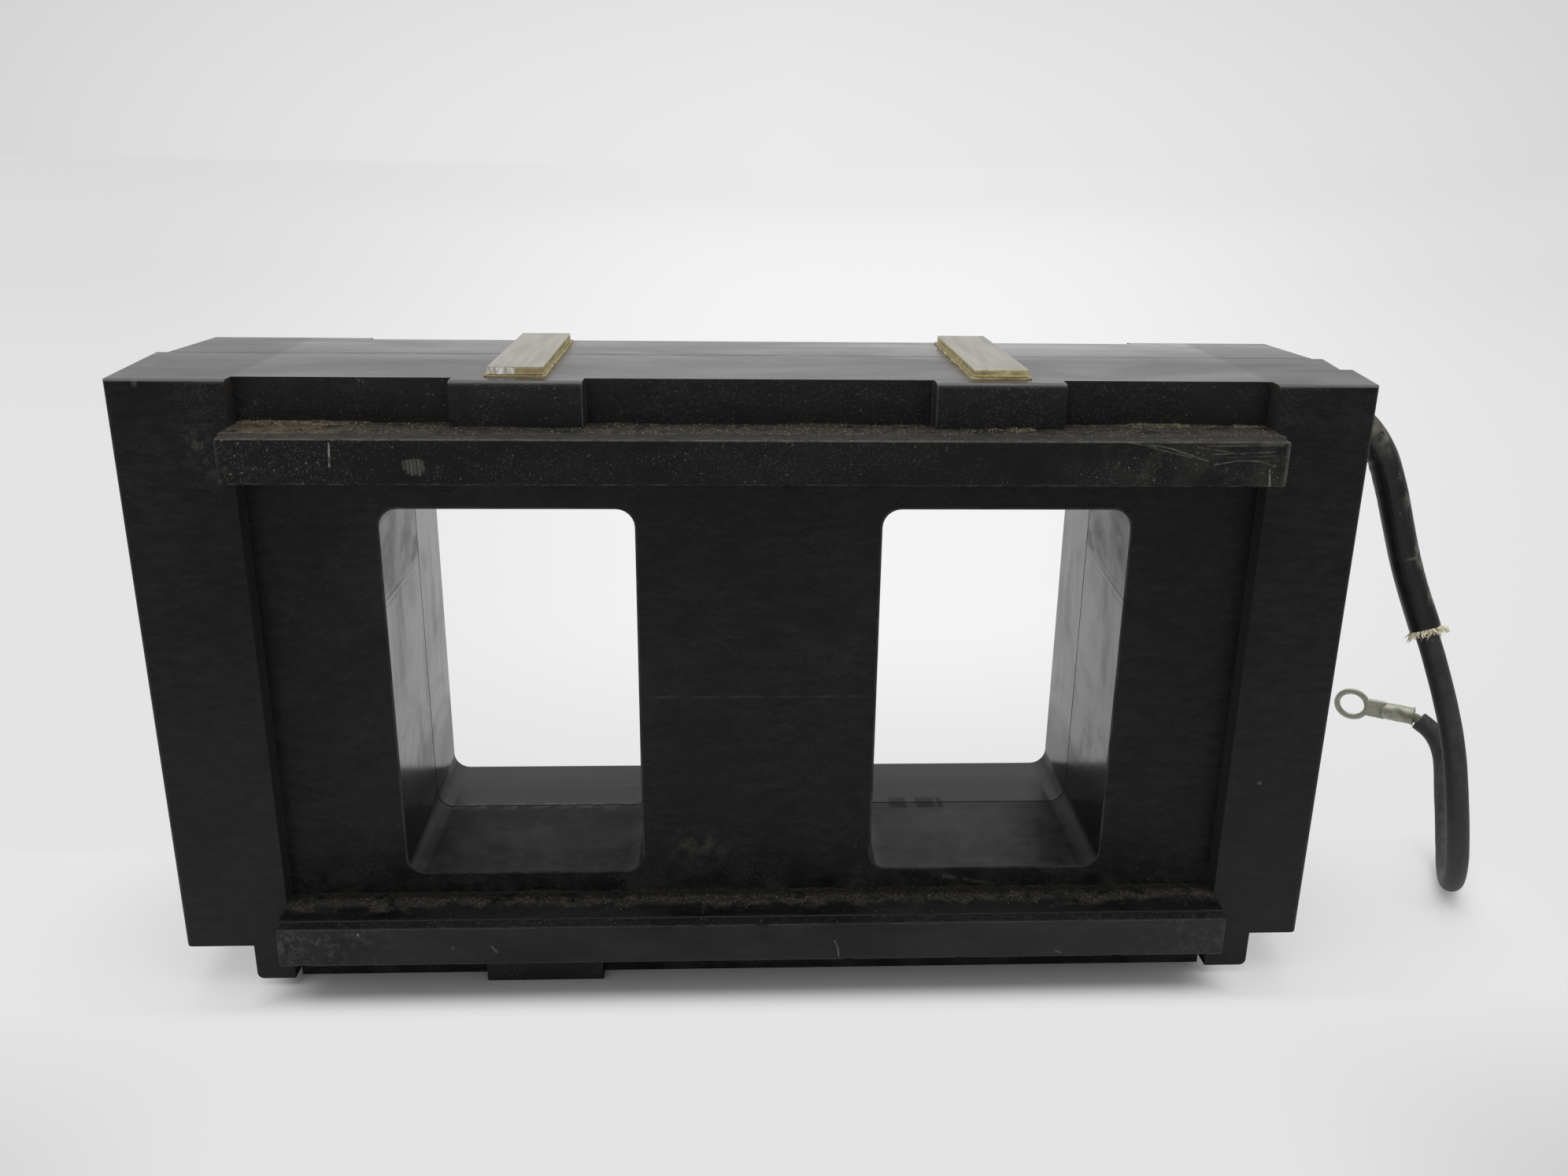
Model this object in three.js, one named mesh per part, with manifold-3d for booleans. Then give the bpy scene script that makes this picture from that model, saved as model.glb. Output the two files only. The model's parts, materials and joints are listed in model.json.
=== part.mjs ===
// A magnet coil block with two core windows, cast in a front and a rear half shell.
// Lengths are millimetres. X runs to the right, Y runs back from the front face of the
// end blocks and Z runs up from the surface that the block stands on. At the end the
// whole block is moved back by half its depth, so its origin is under its middle.

import * as THREE from 'three';
import { mergeVertices } from 'three/addons/utils/BufferGeometryUtils.js';
import Module from 'manifold-3d';

const wasm = await Module();
wasm.setup();

// Clearances shared by all pieces
const fit = 0.3;
const overrun = 6;

// Depth of each half shell, and how their sides spread, step and taper
const seamDepth = 34.6;
const rearDepth = 24.4;
const sideFlare = 3.5;
const rearStep = 2.3;
const rearTaper = 1.8;
const shoulderDepth = 20;
const shoulderStep = 2.6;
const edgeRadius = 1.4;

// Core windows
const windowWidth = 50.8;
const windowHeight = 82;
const windowRadius = 3.8;

// Moulding walls
const panelWall = 3.4;
const sideWall = 4;
const topWall = 3.2;
const railWall = 2.2;
const windowWall = 3;

// Bobbins and windings round each window, and the room left round them
const bobbinWall = 2;
const flangeThickness = 2;
const flangeMargin = 0.8;
const windingBuild = 14;
const wrapThickness = 0.9;
const coilSpacing = 6.8;
const coilFloorGap = 0.7;
const coilTopGap = 1.4;

// End blocks and feet, and the panel beside each window
const leftBlockWidth = 22.5;
const rightBlockWidth = 19.9;
const panelMargin = 25.5;
const blockUnderside = 10.3;
const footUnderside = 2;
const leftFootWidth = 8.2;
const rightFootWidth = 9.4;

// Recessed panels between the end blocks, front and back
const recessDepth = 4.2;
const backRecessDepth = 3;
const backRecessInset = 13.4;

// Ledges across the front and the bars fixed along them
const barHeight = 9;
const barThickness = 3;
const barEndGap = 0.4;
const barChamfer = 0.6;
const ledgeReach = 6.6;
const windowHead = 8.2;
const windowSill = 5.1;

// Ribs on the recessed panel
const ribWidth = 25.5;
const ribInset = 3.6;
const ribRadius = 0.9;

// Shim strips on the top face, each on its bonding film
const shimWidth = 10.8;
const shimThickness = 1.6;
const shimSetBack = 6;
const shimBackGap = 4.5;
const shimInset = 2.8;
const shimChamfer = 0.25;
const bondThickness = 0.3;
const bondMargin = 0.5;

// Filling of the end spaces
const pottingDrop = 22.5;
const pottingRadius = 2;

// Winding wire, its joint between the coils and its two ends
const magnetWire = 2.2;
const magnetBend = 3.2;
const linkRise = 29.5;
const linkSpan = 32;
const tailDrop = 19;
const finishTailRise = 21.5;

// Flying lead and its way out of the rear shell
const leadDiameter = 5.2;
const conductorDiameter = 3;
const leadDrop = 12.2;
const leadDepthShare = 0.6;
const leadRest = 2.7;
const spliceLength = 8;
const spliceDiameter = 6;
const spliceBore = 3.6;
const spliceInset = 11;
const spliceChamfer = 0.5;
const bushBody = 9;
const bushFlange = 11.5;
const bushFlangeThickness = 1.8;
const bushLip = 10.4;
const bushLipThickness = 1.4;
const bushBore = leadDiameter + 2 * fit;
const sleeveDiameter = 6.9;
const sleeveBore = 5.8;
const linerLength = 2.2;
const linerFlare = 9.6;

// Ring terminal
const ringDiameter = 9.2;
const ringBore = 6.4;
const tongueThickness = 1;
const tongueWidth = 5;
const neckLength = 3.4;
const barrelLength = 7.8;
const barrelDiameter = 5;
const barrelBore = 3.6;
const terminalTilt = THREE.MathUtils.degToRad(-7);
const terminalBend = THREE.MathUtils.degToRad(32);

// Steps along arcs and along the lead
const arcSteps = 3;
const roundSteps = 24;
const leadSides = 10;
const wireSteps = 37;
const sleeveSteps = 13;
const tailSteps = 20;

// Distances from a window's edge out to each layer of the coil round it
const bobbinBoreGrow = windowWall + fit;
const bobbinGrow = bobbinBoreGrow + bobbinWall;
const windingBoreGrow = bobbinGrow + fit;
const windingGrow = windingBoreGrow + windingBuild;
const wrapBoreGrow = windingGrow + fit;
const wrapGrow = wrapBoreGrow + wrapThickness;
const flangeGrow = wrapGrow + flangeMargin;

// Across the front: the coils set the post between the windows
const postWidth = 2 * flangeGrow + coilSpacing;
const faceWidth = leftBlockWidth + rightBlockWidth + 2 * (panelMargin + windowWidth) + postWidth;
const halfFace = faceWidth / 2;
const halfSeam = halfFace + sideFlare;
const halfRearSeam = halfSeam - rearStep;
const halfBack = halfRearSeam - rearTaper;
const recessLeft = -halfFace + leftBlockWidth;
const recessRight = halfFace - rightBlockWidth;
const middleX = (recessLeft + recessRight) / 2;
const windowOffset = (postWidth + windowWidth) / 2;
const ribOffset = windowOffset - ribInset;
const sides = [
  { name: 'left', sign: -1 },
  { name: 'right', sign: 1 },
];
const windowX = (sign) => middleX + sign * windowOffset;

// Up the front: the coils set the floor and the top, and the ledges run along the windows
const windowBottom = topWall + coilFloorGap + flangeGrow;
const windowTop = windowBottom + windowHeight;
const windowMiddleZ = (windowBottom + windowTop) / 2;
const height = windowTop + flangeGrow + coilTopGap + topWall;
const upperBarBottom = windowTop + windowHead;
const lowerBarBottom = windowBottom - windowSill - barHeight;
const leadHeight = height - leadDrop;
const pottingTop = leadHeight - pottingDrop;
const linkTop = windowMiddleZ + linkRise;
const linkBottom = linkTop - linkSpan;

// From front to back
const endDepth = seamDepth + rearDepth;
const rearStart = seamDepth + fit;
const backPanel = endDepth - backRecessDepth;
const interiorFront = recessDepth + panelWall;
const interiorBack = backPanel - panelWall;
const bobbinFront = interiorFront + fit;
const bobbinBack = interiorBack - fit;
const windingFront = bobbinFront + flangeThickness + fit;
const windingBack = bobbinBack - flangeThickness - fit;
const linkDepth = (interiorFront + interiorBack) / 2;
const leadDepth = THREE.MathUtils.lerp(rearStart, interiorBack, leadDepthShare);
const shimLength = endDepth - shimSetBack - shimBackGap;
const barReach = ledgeReach + fit + barThickness;
const bodyShift = -(endDepth - barReach) / 2;

// Colours as the photograph shows them, and usual ones for what is inside
const finishes = {
  moulding: { color: 0x1c1c20, roughness: 0.55, metalness: 0 },
  bar: { color: 0x34333a, roughness: 0.6, metalness: 0 },
  shim: { color: 0x9b9686, roughness: 0.5, metalness: 0 },
  bond: { color: 0x8d7a45, roughness: 0.35, metalness: 0 },
  bobbin: { color: 0x6a5636, roughness: 0.7, metalness: 0 },
  copper: { color: 0xa2592f, roughness: 0.35, metalness: 0.9 },
  wrap: { color: 0xcdbf94, roughness: 0.9, metalness: 0 },
  potting: { color: 0x2a2320, roughness: 0.6, metalness: 0 },
  rubber: { color: 0x18181a, roughness: 0.75, metalness: 0 },
  sleeve: { color: 0x202024, roughness: 0.45, metalness: 0 },
  liner: { color: 0xc9bd93, roughness: 0.95, metalness: 0 },
  tin: { color: 0xb4b1a6, roughness: 0.4, metalness: 0.9 },
};

// Solids and booleans

function toSolid(geometry) {
  const bare = geometry.clone();
  bare.deleteAttribute('normal');
  bare.deleteAttribute('uv');
  const merged = mergeVertices(bare);
  return new wasm.Manifold(new wasm.Mesh({
    numProp: 3,
    vertProperties: Float32Array.from(merged.attributes.position.array),
    triVerts: Uint32Array.from(merged.index.array),
  }));
}

function toGeometry(solid) {
  const mesh = solid.getMesh();
  const geometry = new THREE.BufferGeometry();
  const positions = new THREE.BufferAttribute(Float32Array.from(mesh.vertProperties), mesh.numProp);
  geometry.setAttribute('position', positions);
  geometry.setIndex(new THREE.BufferAttribute(Uint32Array.from(mesh.triVerts), 1));
  geometry.computeVertexNormals();
  return geometry;
}

// A closed outline through corners given as [x, y, radius], rounded by true arcs.
function roundedOutline(corners) {
  const shape = new THREE.Shape();
  const at = (index) => corners[(index + corners.length) % corners.length];
  corners.forEach(([x, y, radius], index) => {
    const corner = new THREE.Vector2(x, y);
    const back = new THREE.Vector2(at(index - 1)[0], at(index - 1)[1]).sub(corner).normalize();
    const ahead = new THREE.Vector2(at(index + 1)[0], at(index + 1)[1]).sub(corner).normalize();
    const half = Math.acos(THREE.MathUtils.clamp(back.dot(ahead), -1, 1)) / 2;
    const reach = radius / Math.tan(half);
    const start = corner.clone().addScaledVector(back, reach);
    if (index === 0) {
      shape.moveTo(start.x, start.y);
    } else {
      shape.lineTo(start.x, start.y);
    }
    if (radius > 0) {
      const bisector = back.clone().add(ahead).normalize();
      const centre = corner.clone().addScaledVector(bisector, radius / Math.sin(half));
      const end = corner.clone().addScaledVector(ahead, reach);
      const startAngle = Math.atan2(start.y - centre.y, start.x - centre.x);
      const endAngle = Math.atan2(end.y - centre.y, end.x - centre.x);
      const clockwise = back.cross(ahead) > 0;
      shape.absarc(centre.x, centre.y, radius, startAngle, endAngle, clockwise);
    }
  });
  shape.closePath();
  return shape;
}

function rectangle(left, right, low, high, radius = 0) {
  return roundedOutline([
    [left, low, radius],
    [right, low, radius],
    [right, high, radius],
    [left, high, radius],
  ]);
}

const extrusion = (shape, length) => new THREE.ExtrudeGeometry(shape, {
  depth: length,
  bevelEnabled: false,
  curveSegments: arcSteps,
});

// An outline in X and Z pushed from one depth to another.
function frontPrism(shape, from, to) {
  return toSolid(extrusion(shape, to - from).rotateX(Math.PI / 2).translate(0, to, 0));
}

// An outline in X and Y pushed from one height to another.
function planPrism(shape, from, to) {
  return toSolid(extrusion(shape, to - from).translate(0, 0, from));
}

// An outline in Y and Z pushed from one X to another.
function sidePrism(shape, from, to) {
  return toSolid(extrusion(shape, to - from).rotateX(Math.PI / 2).rotateZ(Math.PI / 2)
    .translate(from, 0, 0));
}

// A profile of [radius, distance] turned round a line along +X from a start point.
function turnedAlongX(profile, start) {
  const points = profile.map(([radius, distance]) => new THREE.Vector2(radius, distance));
  return new THREE.LatheGeometry(points, roundSteps).rotateZ(-Math.PI / 2)
    .translate(start.x, start.y, start.z);
}

function circle(diameter, sidesCount) {
  const points = [];
  for (let side = 0; side < sidesCount; side += 1) {
    const angle = (side / sidesCount) * 2 * Math.PI;
    points.push(new THREE.Vector2(Math.cos(angle), Math.sin(angle)).multiplyScalar(diameter / 2));
  }
  return points;
}

// A solid or hollow round tube along a curve.
function tube(curve, steps, diameter, bore = 0, sidesCount = leadSides) {
  const section = new THREE.Shape(circle(diameter, sidesCount));
  if (bore > 0) {
    section.holes.push(new THREE.Path(circle(bore, sidesCount)));
  }
  return new THREE.ExtrudeGeometry(section, { steps, extrudePath: curve, bevelEnabled: false });
}

// The stretch of a curve from its start to a share of its length.
class CurveStart extends THREE.Curve {
  constructor(curve, lengthShare) {
    super();
    this.curve = curve;
    this.lengthShare = lengthShare;
  }

  getPoint(t, target = new THREE.Vector3()) {
    return this.curve.getPointAt(t * this.lengthShare, target);
  }
}

// Housing

// The sides spread from the front face to the seam. The right one has a shoulder on the way.
function frontPlan() {
  return roundedOutline([
    [-halfFace, 0, edgeRadius],
    [halfFace, 0, edgeRadius],
    [halfSeam, shoulderDepth, 0],
    [halfSeam - shoulderStep, shoulderDepth, 0],
    [halfSeam, seamDepth, 0],
    [-halfSeam, seamDepth, 0],
  ]);
}

// The rear half steps in at the seam and draws in a little to the back.
function rearPlan() {
  return roundedOutline([
    [-halfRearSeam, rearStart, 0],
    [halfRearSeam, rearStart, 0],
    [halfBack, endDepth, edgeRadius],
    [-halfBack, endDepth, edgeRadius],
  ]);
}

// Seen from the front: end blocks stop short of the surface, feet come lower and the rail
// between them stands on it.
function frontOutline() {
  const outside = halfSeam + overrun;
  return roundedOutline([
    [-outside, blockUnderside, 0],
    [recessLeft - leftFootWidth, blockUnderside, 0],
    [recessLeft - leftFootWidth, footUnderside, edgeRadius],
    [recessLeft, footUnderside, 0],
    [recessLeft, 0, 0],
    [recessRight, 0, 0],
    [recessRight, footUnderside, 0],
    [recessRight + rightFootWidth, footUnderside, edgeRadius],
    [recessRight + rightFootWidth, blockUnderside, 0],
    [outside, blockUnderside, 0],
    [outside, height, 0],
    [-outside, height, 0],
  ]);
}

// The mould cavity inside both halves, seen from the front.
function cavityOutline() {
  const half = halfFace - sideWall;
  const railLeft = recessLeft + railWall;
  const railRight = recessRight - railWall;
  return roundedOutline([
    [-half, blockUnderside + topWall, 0],
    [railLeft, blockUnderside + topWall, 0],
    [railLeft, topWall, edgeRadius],
    [railRight, topWall, edgeRadius],
    [railRight, blockUnderside + topWall, 0],
    [half, blockUnderside + topWall, 0],
    [half, height - topWall, edgeRadius],
    [-half, height - topWall, edgeRadius],
  ]);
}

// A window's outline, or one grown outwards from it by a distance.
function windowOutline(sign, grow = 0) {
  const halfWidth = windowWidth / 2 + grow;
  const halfHeight = windowHeight / 2 + grow;
  const x = windowX(sign);
  return rectangle(
    x - halfWidth,
    x + halfWidth,
    windowMiddleZ - halfHeight,
    windowMiddleZ + halfHeight,
    windowRadius + grow,
  );
}

function windowPrisms(grow, from, to) {
  return sides
    .map(({ sign }) => frontPrism(windowOutline(sign, grow), from, to))
    .reduce((all, one) => all.add(one));
}

// The inside of a half shell: the cavity, less the walls that line the windows.
function cavityBetween(from, to) {
  return frontPrism(cavityOutline(), from, to).subtract(windowPrisms(windowWall, from, to));
}

function ribOutline(front, back, low, high, lowRadius, highRadius) {
  return roundedOutline([
    [front, low, lowRadius],
    [back, low, 0],
    [back, high, 0],
    [front, high, highRadius],
  ]);
}

// Ribs stand level with the end blocks: two above the upper ledge, one below the lower.
function ribs() {
  const behind = recessDepth + overrun;
  const upper = ribOutline(0, behind, upperBarBottom, height, 0, ribRadius);
  const lower = ribOutline(0, behind, 0, lowerBarBottom + barHeight, ribRadius, 0);
  const span = (sign) => [
    middleX + sign * ribOffset - ribWidth / 2,
    middleX + sign * ribOffset + ribWidth / 2,
  ];
  return sidePrism(upper, ...span(-1))
    .add(sidePrism(upper, ...span(1)))
    .add(sidePrism(lower, ...span(-1)));
}

function ledge(bottom) {
  const profile = ribOutline(
    -ledgeReach,
    interiorFront,
    bottom,
    bottom + barHeight,
    barChamfer,
    barChamfer,
  );
  return sidePrism(profile, recessLeft, recessRight);
}

function frontShell() {
  const wide = halfSeam + overrun;
  const profile = roundedOutline([
    [0, 0, edgeRadius],
    [seamDepth, 0, 0],
    [seamDepth, height, 0],
    [0, height, edgeRadius],
  ]);
  const recess = rectangle(-overrun, recessDepth, -overrun, height + overrun);
  return planPrism(frontPlan(), 0, height)
    .intersect(frontPrism(frontOutline(), -overrun, seamDepth + overrun))
    .intersect(sidePrism(profile, -wide, wide))
    .subtract(sidePrism(recess, recessLeft, recessRight).subtract(ribs()))
    .add(ledge(upperBarBottom))
    .add(ledge(lowerBarBottom))
    .subtract(cavityBetween(interiorFront, seamDepth + overrun))
    .subtract(windowPrisms(0, -overrun, seamDepth + overrun));
}

function leadHole() {
  return toSolid(turnedAlongX(
    [
      [0, 0],
      [bushBody / 2 + fit, 0],
      [bushBody / 2 + fit, sideWall + rearTaper + overrun],
      [0, sideWall + rearTaper + overrun],
    ],
    new THREE.Vector3(halfFace - sideWall - overrun / 2, leadDepth, leadHeight),
  ));
}

function rearShell() {
  const wide = halfSeam + overrun;
  const profile = roundedOutline([
    [rearStart, 0, 0],
    [endDepth, 0, edgeRadius],
    [endDepth, height, edgeRadius],
    [rearStart, height, 0],
  ]);
  const recess = rectangle(backPanel, endDepth + overrun, -overrun, height + overrun);
  return planPrism(rearPlan(), 0, height)
    .intersect(frontPrism(frontOutline(), rearStart - overrun, endDepth + overrun))
    .intersect(sidePrism(profile, -wide, wide))
    .subtract(sidePrism(recess, recessLeft + backRecessInset, recessRight - backRecessInset))
    .subtract(cavityBetween(rearStart - overrun, interiorBack))
    .subtract(windowPrisms(0, rearStart - overrun, endDepth + overrun))
    .subtract(leadHole());
}

function frontBar(bottom) {
  const front = -barReach;
  const back = -ledgeReach - fit;
  const top = bottom + barHeight;
  const profile = roundedOutline([
    [front, bottom, barChamfer],
    [back, bottom, 0],
    [back, top, 0],
    [front, top, barChamfer],
  ]);
  return sidePrism(profile, recessLeft + barEndGap, recessRight - barEndGap);
}

// Shims

const shimX = (sign) => middleX + sign * (windowOffset - shimInset);

function shimBond(sign) {
  const half = shimWidth / 2 + bondMargin;
  const back = shimSetBack + shimLength;
  const film = rectangle(
    shimX(sign) - half,
    shimX(sign) + half,
    shimSetBack - bondMargin,
    back + bondMargin,
    bondMargin,
  );
  return planPrism(film, height, height + bondThickness);
}

function shimStrip(sign) {
  const low = height + bondThickness;
  const high = low + shimThickness;
  const left = shimX(sign) - shimWidth / 2;
  const right = shimX(sign) + shimWidth / 2;
  const section = roundedOutline([
    [left, low, 0],
    [right, low, 0],
    [right, high, shimChamfer],
    [left, high, shimChamfer],
  ]);
  return frontPrism(section, shimSetBack, shimSetBack + shimLength);
}

// Coils

function bobbin(sign) {
  const bore = frontPrism(windowOutline(sign, bobbinBoreGrow), bobbinFront - overrun, bobbinBack + overrun);
  const flange = (from) => frontPrism(windowOutline(sign, flangeGrow), from, from + flangeThickness);
  return frontPrism(windowOutline(sign, bobbinGrow), bobbinFront, bobbinBack)
    .add(flange(bobbinFront))
    .add(flange(bobbinBack - flangeThickness))
    .subtract(bore);
}

function layer(sign, innerGrow, outerGrow) {
  return frontPrism(windowOutline(sign, outerGrow), windingFront, windingBack)
    .subtract(frontPrism(windowOutline(sign, innerGrow), windingFront - overrun, windingBack + overrun));
}

// Casting compound in the end space beside each coil, up to below the winding ends.
function potting(sign) {
  const flangeEdge = windowX(sign) + sign * (windowWidth / 2 + flangeGrow + fit);
  const wallEdge = sign * (halfFace - sideWall - fit);
  const block = rectangle(
    Math.min(flangeEdge, wallEdge),
    Math.max(flangeEdge, wallEdge),
    blockUnderside + topWall + fit,
    pottingTop,
    pottingRadius,
  );
  return frontPrism(block, bobbinFront, bobbinBack);
}

const wrapFace = (sign, towards) => windowX(sign) + towards * (windowWidth / 2 + wrapGrow + fit);

// The joint between the two coils, in the gap between them.
function coilLink() {
  const route = new THREE.CatmullRomCurve3([
    new THREE.Vector3(wrapFace(-1, 1), linkDepth, linkTop),
    new THREE.Vector3(wrapFace(-1, 1) + magnetWire / 2, linkDepth, linkTop),
    new THREE.Vector3(middleX - magnetWire / 2, linkDepth, linkTop - magnetWire / 2),
    new THREE.Vector3(middleX, linkDepth, linkTop - magnetBend),
    new THREE.Vector3(middleX, linkDepth, (linkTop + linkBottom) / 2),
    new THREE.Vector3(middleX, linkDepth, linkBottom + magnetBend),
    new THREE.Vector3(middleX + magnetWire / 2, linkDepth, linkBottom + magnetWire / 2),
    new THREE.Vector3(wrapFace(1, -1) - magnetWire / 2, linkDepth, linkBottom),
    new THREE.Vector3(wrapFace(1, -1), linkDepth, linkBottom),
  ]);
  return tube(route, tailSteps, magnetWire);
}

const spliceStart = halfFace - sideWall - spliceInset;
const tailMiddle = spliceStart + spliceLength / 2 - fit;

// The start of the right winding rises beside its flange and turns into the splice.
function startTail() {
  const out = wrapFace(1, 1);
  const low = leadHeight - tailDrop;
  const route = new THREE.CatmullRomCurve3([
    new THREE.Vector3(out, leadDepth, low),
    new THREE.Vector3(out + magnetWire / 2, leadDepth, low),
    new THREE.Vector3(out + magnetWire, leadDepth, low + magnetWire / 4),
    new THREE.Vector3(out + magnetBend, leadDepth, low + magnetBend),
    new THREE.Vector3(out + magnetBend, leadDepth, leadHeight - magnetBend),
    new THREE.Vector3(out + magnetBend + magnetWire / 2, leadDepth, leadHeight - magnetWire / 2),
    new THREE.Vector3(spliceStart - fit, leadDepth, leadHeight),
    new THREE.Vector3(tailMiddle, leadDepth, leadHeight),
  ]);
  return tube(route, tailSteps, magnetWire);
}

// The finish of the left winding stands up beside its flange.
function finishTail() {
  const out = wrapFace(-1, -1);
  const low = leadHeight - tailDrop;
  const high = low + finishTailRise;
  const route = new THREE.CatmullRomCurve3([
    new THREE.Vector3(out, leadDepth, low),
    new THREE.Vector3(out - magnetWire / 2, leadDepth, low),
    new THREE.Vector3(out - magnetWire, leadDepth, low + magnetWire / 4),
    new THREE.Vector3(out - magnetBend, leadDepth, low + magnetBend),
    new THREE.Vector3(out - magnetBend, leadDepth, (low + high) / 2),
    new THREE.Vector3(out - magnetBend, leadDepth, high),
  ]);
  return tube(route, tailSteps, magnetWire);
}

// Lead

const sideAtDepth = (depth) => halfRearSeam
  - rearTaper * (depth - rearStart) / (endDepth - rearStart);
const bushSeat = sideAtDepth(leadDepth - bushFlange / 2) + fit;
const bushFace = bushSeat + bushFlangeThickness;
const leadPoint = (x) => new THREE.Vector3(x, leadDepth, leadHeight);

function leadSplice() {
  return turnedAlongX(
    [
      [spliceBore / 2, 0],
      [spliceDiameter / 2 - spliceChamfer, 0],
      [spliceDiameter / 2, spliceChamfer],
      [spliceDiameter / 2, spliceLength - spliceChamfer],
      [spliceDiameter / 2 - spliceChamfer, spliceLength],
      [spliceBore / 2, spliceLength],
      [spliceBore / 2, 0],
    ],
    leadPoint(spliceStart),
  );
}

// The lead inside the housing: bare conductor in the splice, insulated through the bush.
function leadTail() {
  const start = tailMiddle + 2 * fit;
  const insulation = spliceStart + spliceLength + fit - start;
  return turnedAlongX(
    [
      [0, 0],
      [conductorDiameter / 2, 0],
      [conductorDiameter / 2, insulation],
      [leadDiameter / 2, insulation],
      [leadDiameter / 2, bushFace - start],
      [0, bushFace - start],
    ],
    leadPoint(start),
  );
}

// A bush with an outer flange and an inner lip that grips the wall between them.
function leadBush() {
  const wallInside = halfFace - sideWall - fit;
  const start = wallInside - bushLipThickness;
  return turnedAlongX(
    [
      [bushBore / 2, 0],
      [bushBody / 2, 0],
      [bushLip / 2, wallInside - start],
      [bushBody / 2, wallInside - start],
      [bushBody / 2, bushSeat - start],
      [bushFlange / 2, bushSeat - start],
      [bushFlange / 2, bushFace - start - bushFlangeThickness / 2],
      [bushBody / 2, bushFace - start],
      [bushBore / 2, bushFace - start],
      [bushBore / 2, 0],
    ],
    leadPoint(start),
  );
}

// The lead's free route, from the bush over and down to the surface, round a standing
// loop and up again to the terminal, which points back towards the block. Each row is the
// distance beyond the exit, the distance behind it and the share of its height.
const leadExit = leadPoint(bushFace + fit);
const leadRouteShares = [
  [0, 0, 1],
  [8.4, -0.1, 0.9958],
  [15.9, -0.8, 0.9646],
  [21.2, -1.8, 0.9108],
  [24.2, -3.1, 0.846],
  [26.3, -4.8, 0.7778],
  [28.2, -7, 0.7113],
  [30.4, -9.6, 0.6456],
  [32.8, -12.5, 0.5816],
  [35.1, -15.4, 0.5177],
  [37.1, -18.3, 0.4529],
  [38.8, -21, 0.3872],
  [40.1, -23.2, 0.319],
  [41.2, -24.7, 0.2492],
  [42.6, -25.2, 0.1793],
  [44.5, -24.1, 0.1111],
  [46.9, -20.5, 0.0513],
  [50, -14.3, 0.0118],
  [53.5, -6.8, 0.0008],
  [56.7, 0.5, 0.021],
  [59, 6.9, 0.064],
  [60.1, 11.2, 0.1069],
  [61.2, 15.3, 0.1515],
  [61.4, 17.5, 0.1759],
  [60.8, 19.7, 0.2003],
  [59.2, 21.7, 0.2214],
  [56.7, 23.5, 0.2374],
];
const leadRoute = new THREE.CatmullRomCurve3(
  leadRouteShares.map(([beyond, behind, share]) => new THREE.Vector3(
    leadExit.x + beyond,
    leadExit.y + behind,
    THREE.MathUtils.lerp(leadRest, leadExit.z, share),
  )),
  false,
  'centripetal',
);
const sleeveShare = sleeveSteps / wireSteps;

// The frayed end of the sleeve's woven liner, flared round the lead.
function linerEnd() {
  const start = leadRoute.getPointAt(sleeveShare);
  const tangent = leadRoute.getTangentAt(sleeveShare);
  const profile = [
    [sleeveBore / 2, fit],
    [sleeveDiameter / 2, fit],
    [linerFlare / 2, fit + linerLength / 2],
    [linerFlare / 2 - fit, fit + linerLength],
    [sleeveBore / 2, fit + linerLength],
    [sleeveBore / 2, fit],
  ].map(([radius, distance]) => new THREE.Vector2(radius, distance));
  return new THREE.LatheGeometry(profile, roundSteps)
    .applyQuaternion(new THREE.Quaternion().setFromUnitVectors(THREE.Object3D.DEFAULT_UP, tangent))
    .translate(start.x, start.y, start.z);
}

// A ring tongue with a crimp barrel, made lying along +X with the barrel's mouth at zero.
function ringTerminal() {
  const ringX = barrelLength + neckLength + ringDiameter / 2;
  const plate = (shape, thickness) => toSolid(extrusion(shape, thickness)
    .translate(0, 0, -thickness / 2));
  const disc = new THREE.Shape(circle(ringDiameter, roundSteps));
  const hole = new THREE.Shape(circle(ringBore, roundSteps));
  const halfRoot = barrelDiameter / 2 - tongueThickness / 2;
  const neck = roundedOutline([
    [barrelLength - tongueWidth / 2, -halfRoot, 0],
    [barrelLength + neckLength / 2, -tongueWidth / 2, neckLength / 2],
    [ringX, -ringDiameter / 2 + tongueThickness, 0],
    [ringX, ringDiameter / 2 - tongueThickness, 0],
    [barrelLength + neckLength / 2, tongueWidth / 2, neckLength / 2],
    [barrelLength - tongueWidth / 2, halfRoot, 0],
  ]);
  const barrel = toSolid(turnedAlongX(
    [
      [0, 0],
      [barrelDiameter / 2, 0],
      [barrelDiameter / 2, barrelLength - tongueThickness],
      [barrelDiameter / 2 - tongueThickness, barrelLength],
      [0, barrelLength],
    ],
    new THREE.Vector3(),
  ));
  const bore = toSolid(turnedAlongX(
    [
      [0, -overrun],
      [barrelBore / 2, -overrun],
      [barrelBore / 2, barrelLength - tongueThickness],
      [0, barrelLength - tongueThickness],
    ],
    new THREE.Vector3(),
  ));
  const solid = plate(disc, tongueThickness).translate([ringX, 0, 0])
    .add(plate(neck, tongueThickness))
    .add(barrel)
    .subtract(plate(hole, overrun).translate([ringX, 0, 0]))
    .subtract(bore);
  return toGeometry(solid);
}

// Assembly

const block = new THREE.Group();
block.position.y = bodyShift;

function addPiece(name, geometry, finish, parent = block) {
  const mesh = new THREE.Mesh(geometry, new THREE.MeshStandardMaterial(finish));
  mesh.name = name;
  parent.add(mesh);
  return mesh;
}

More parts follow.
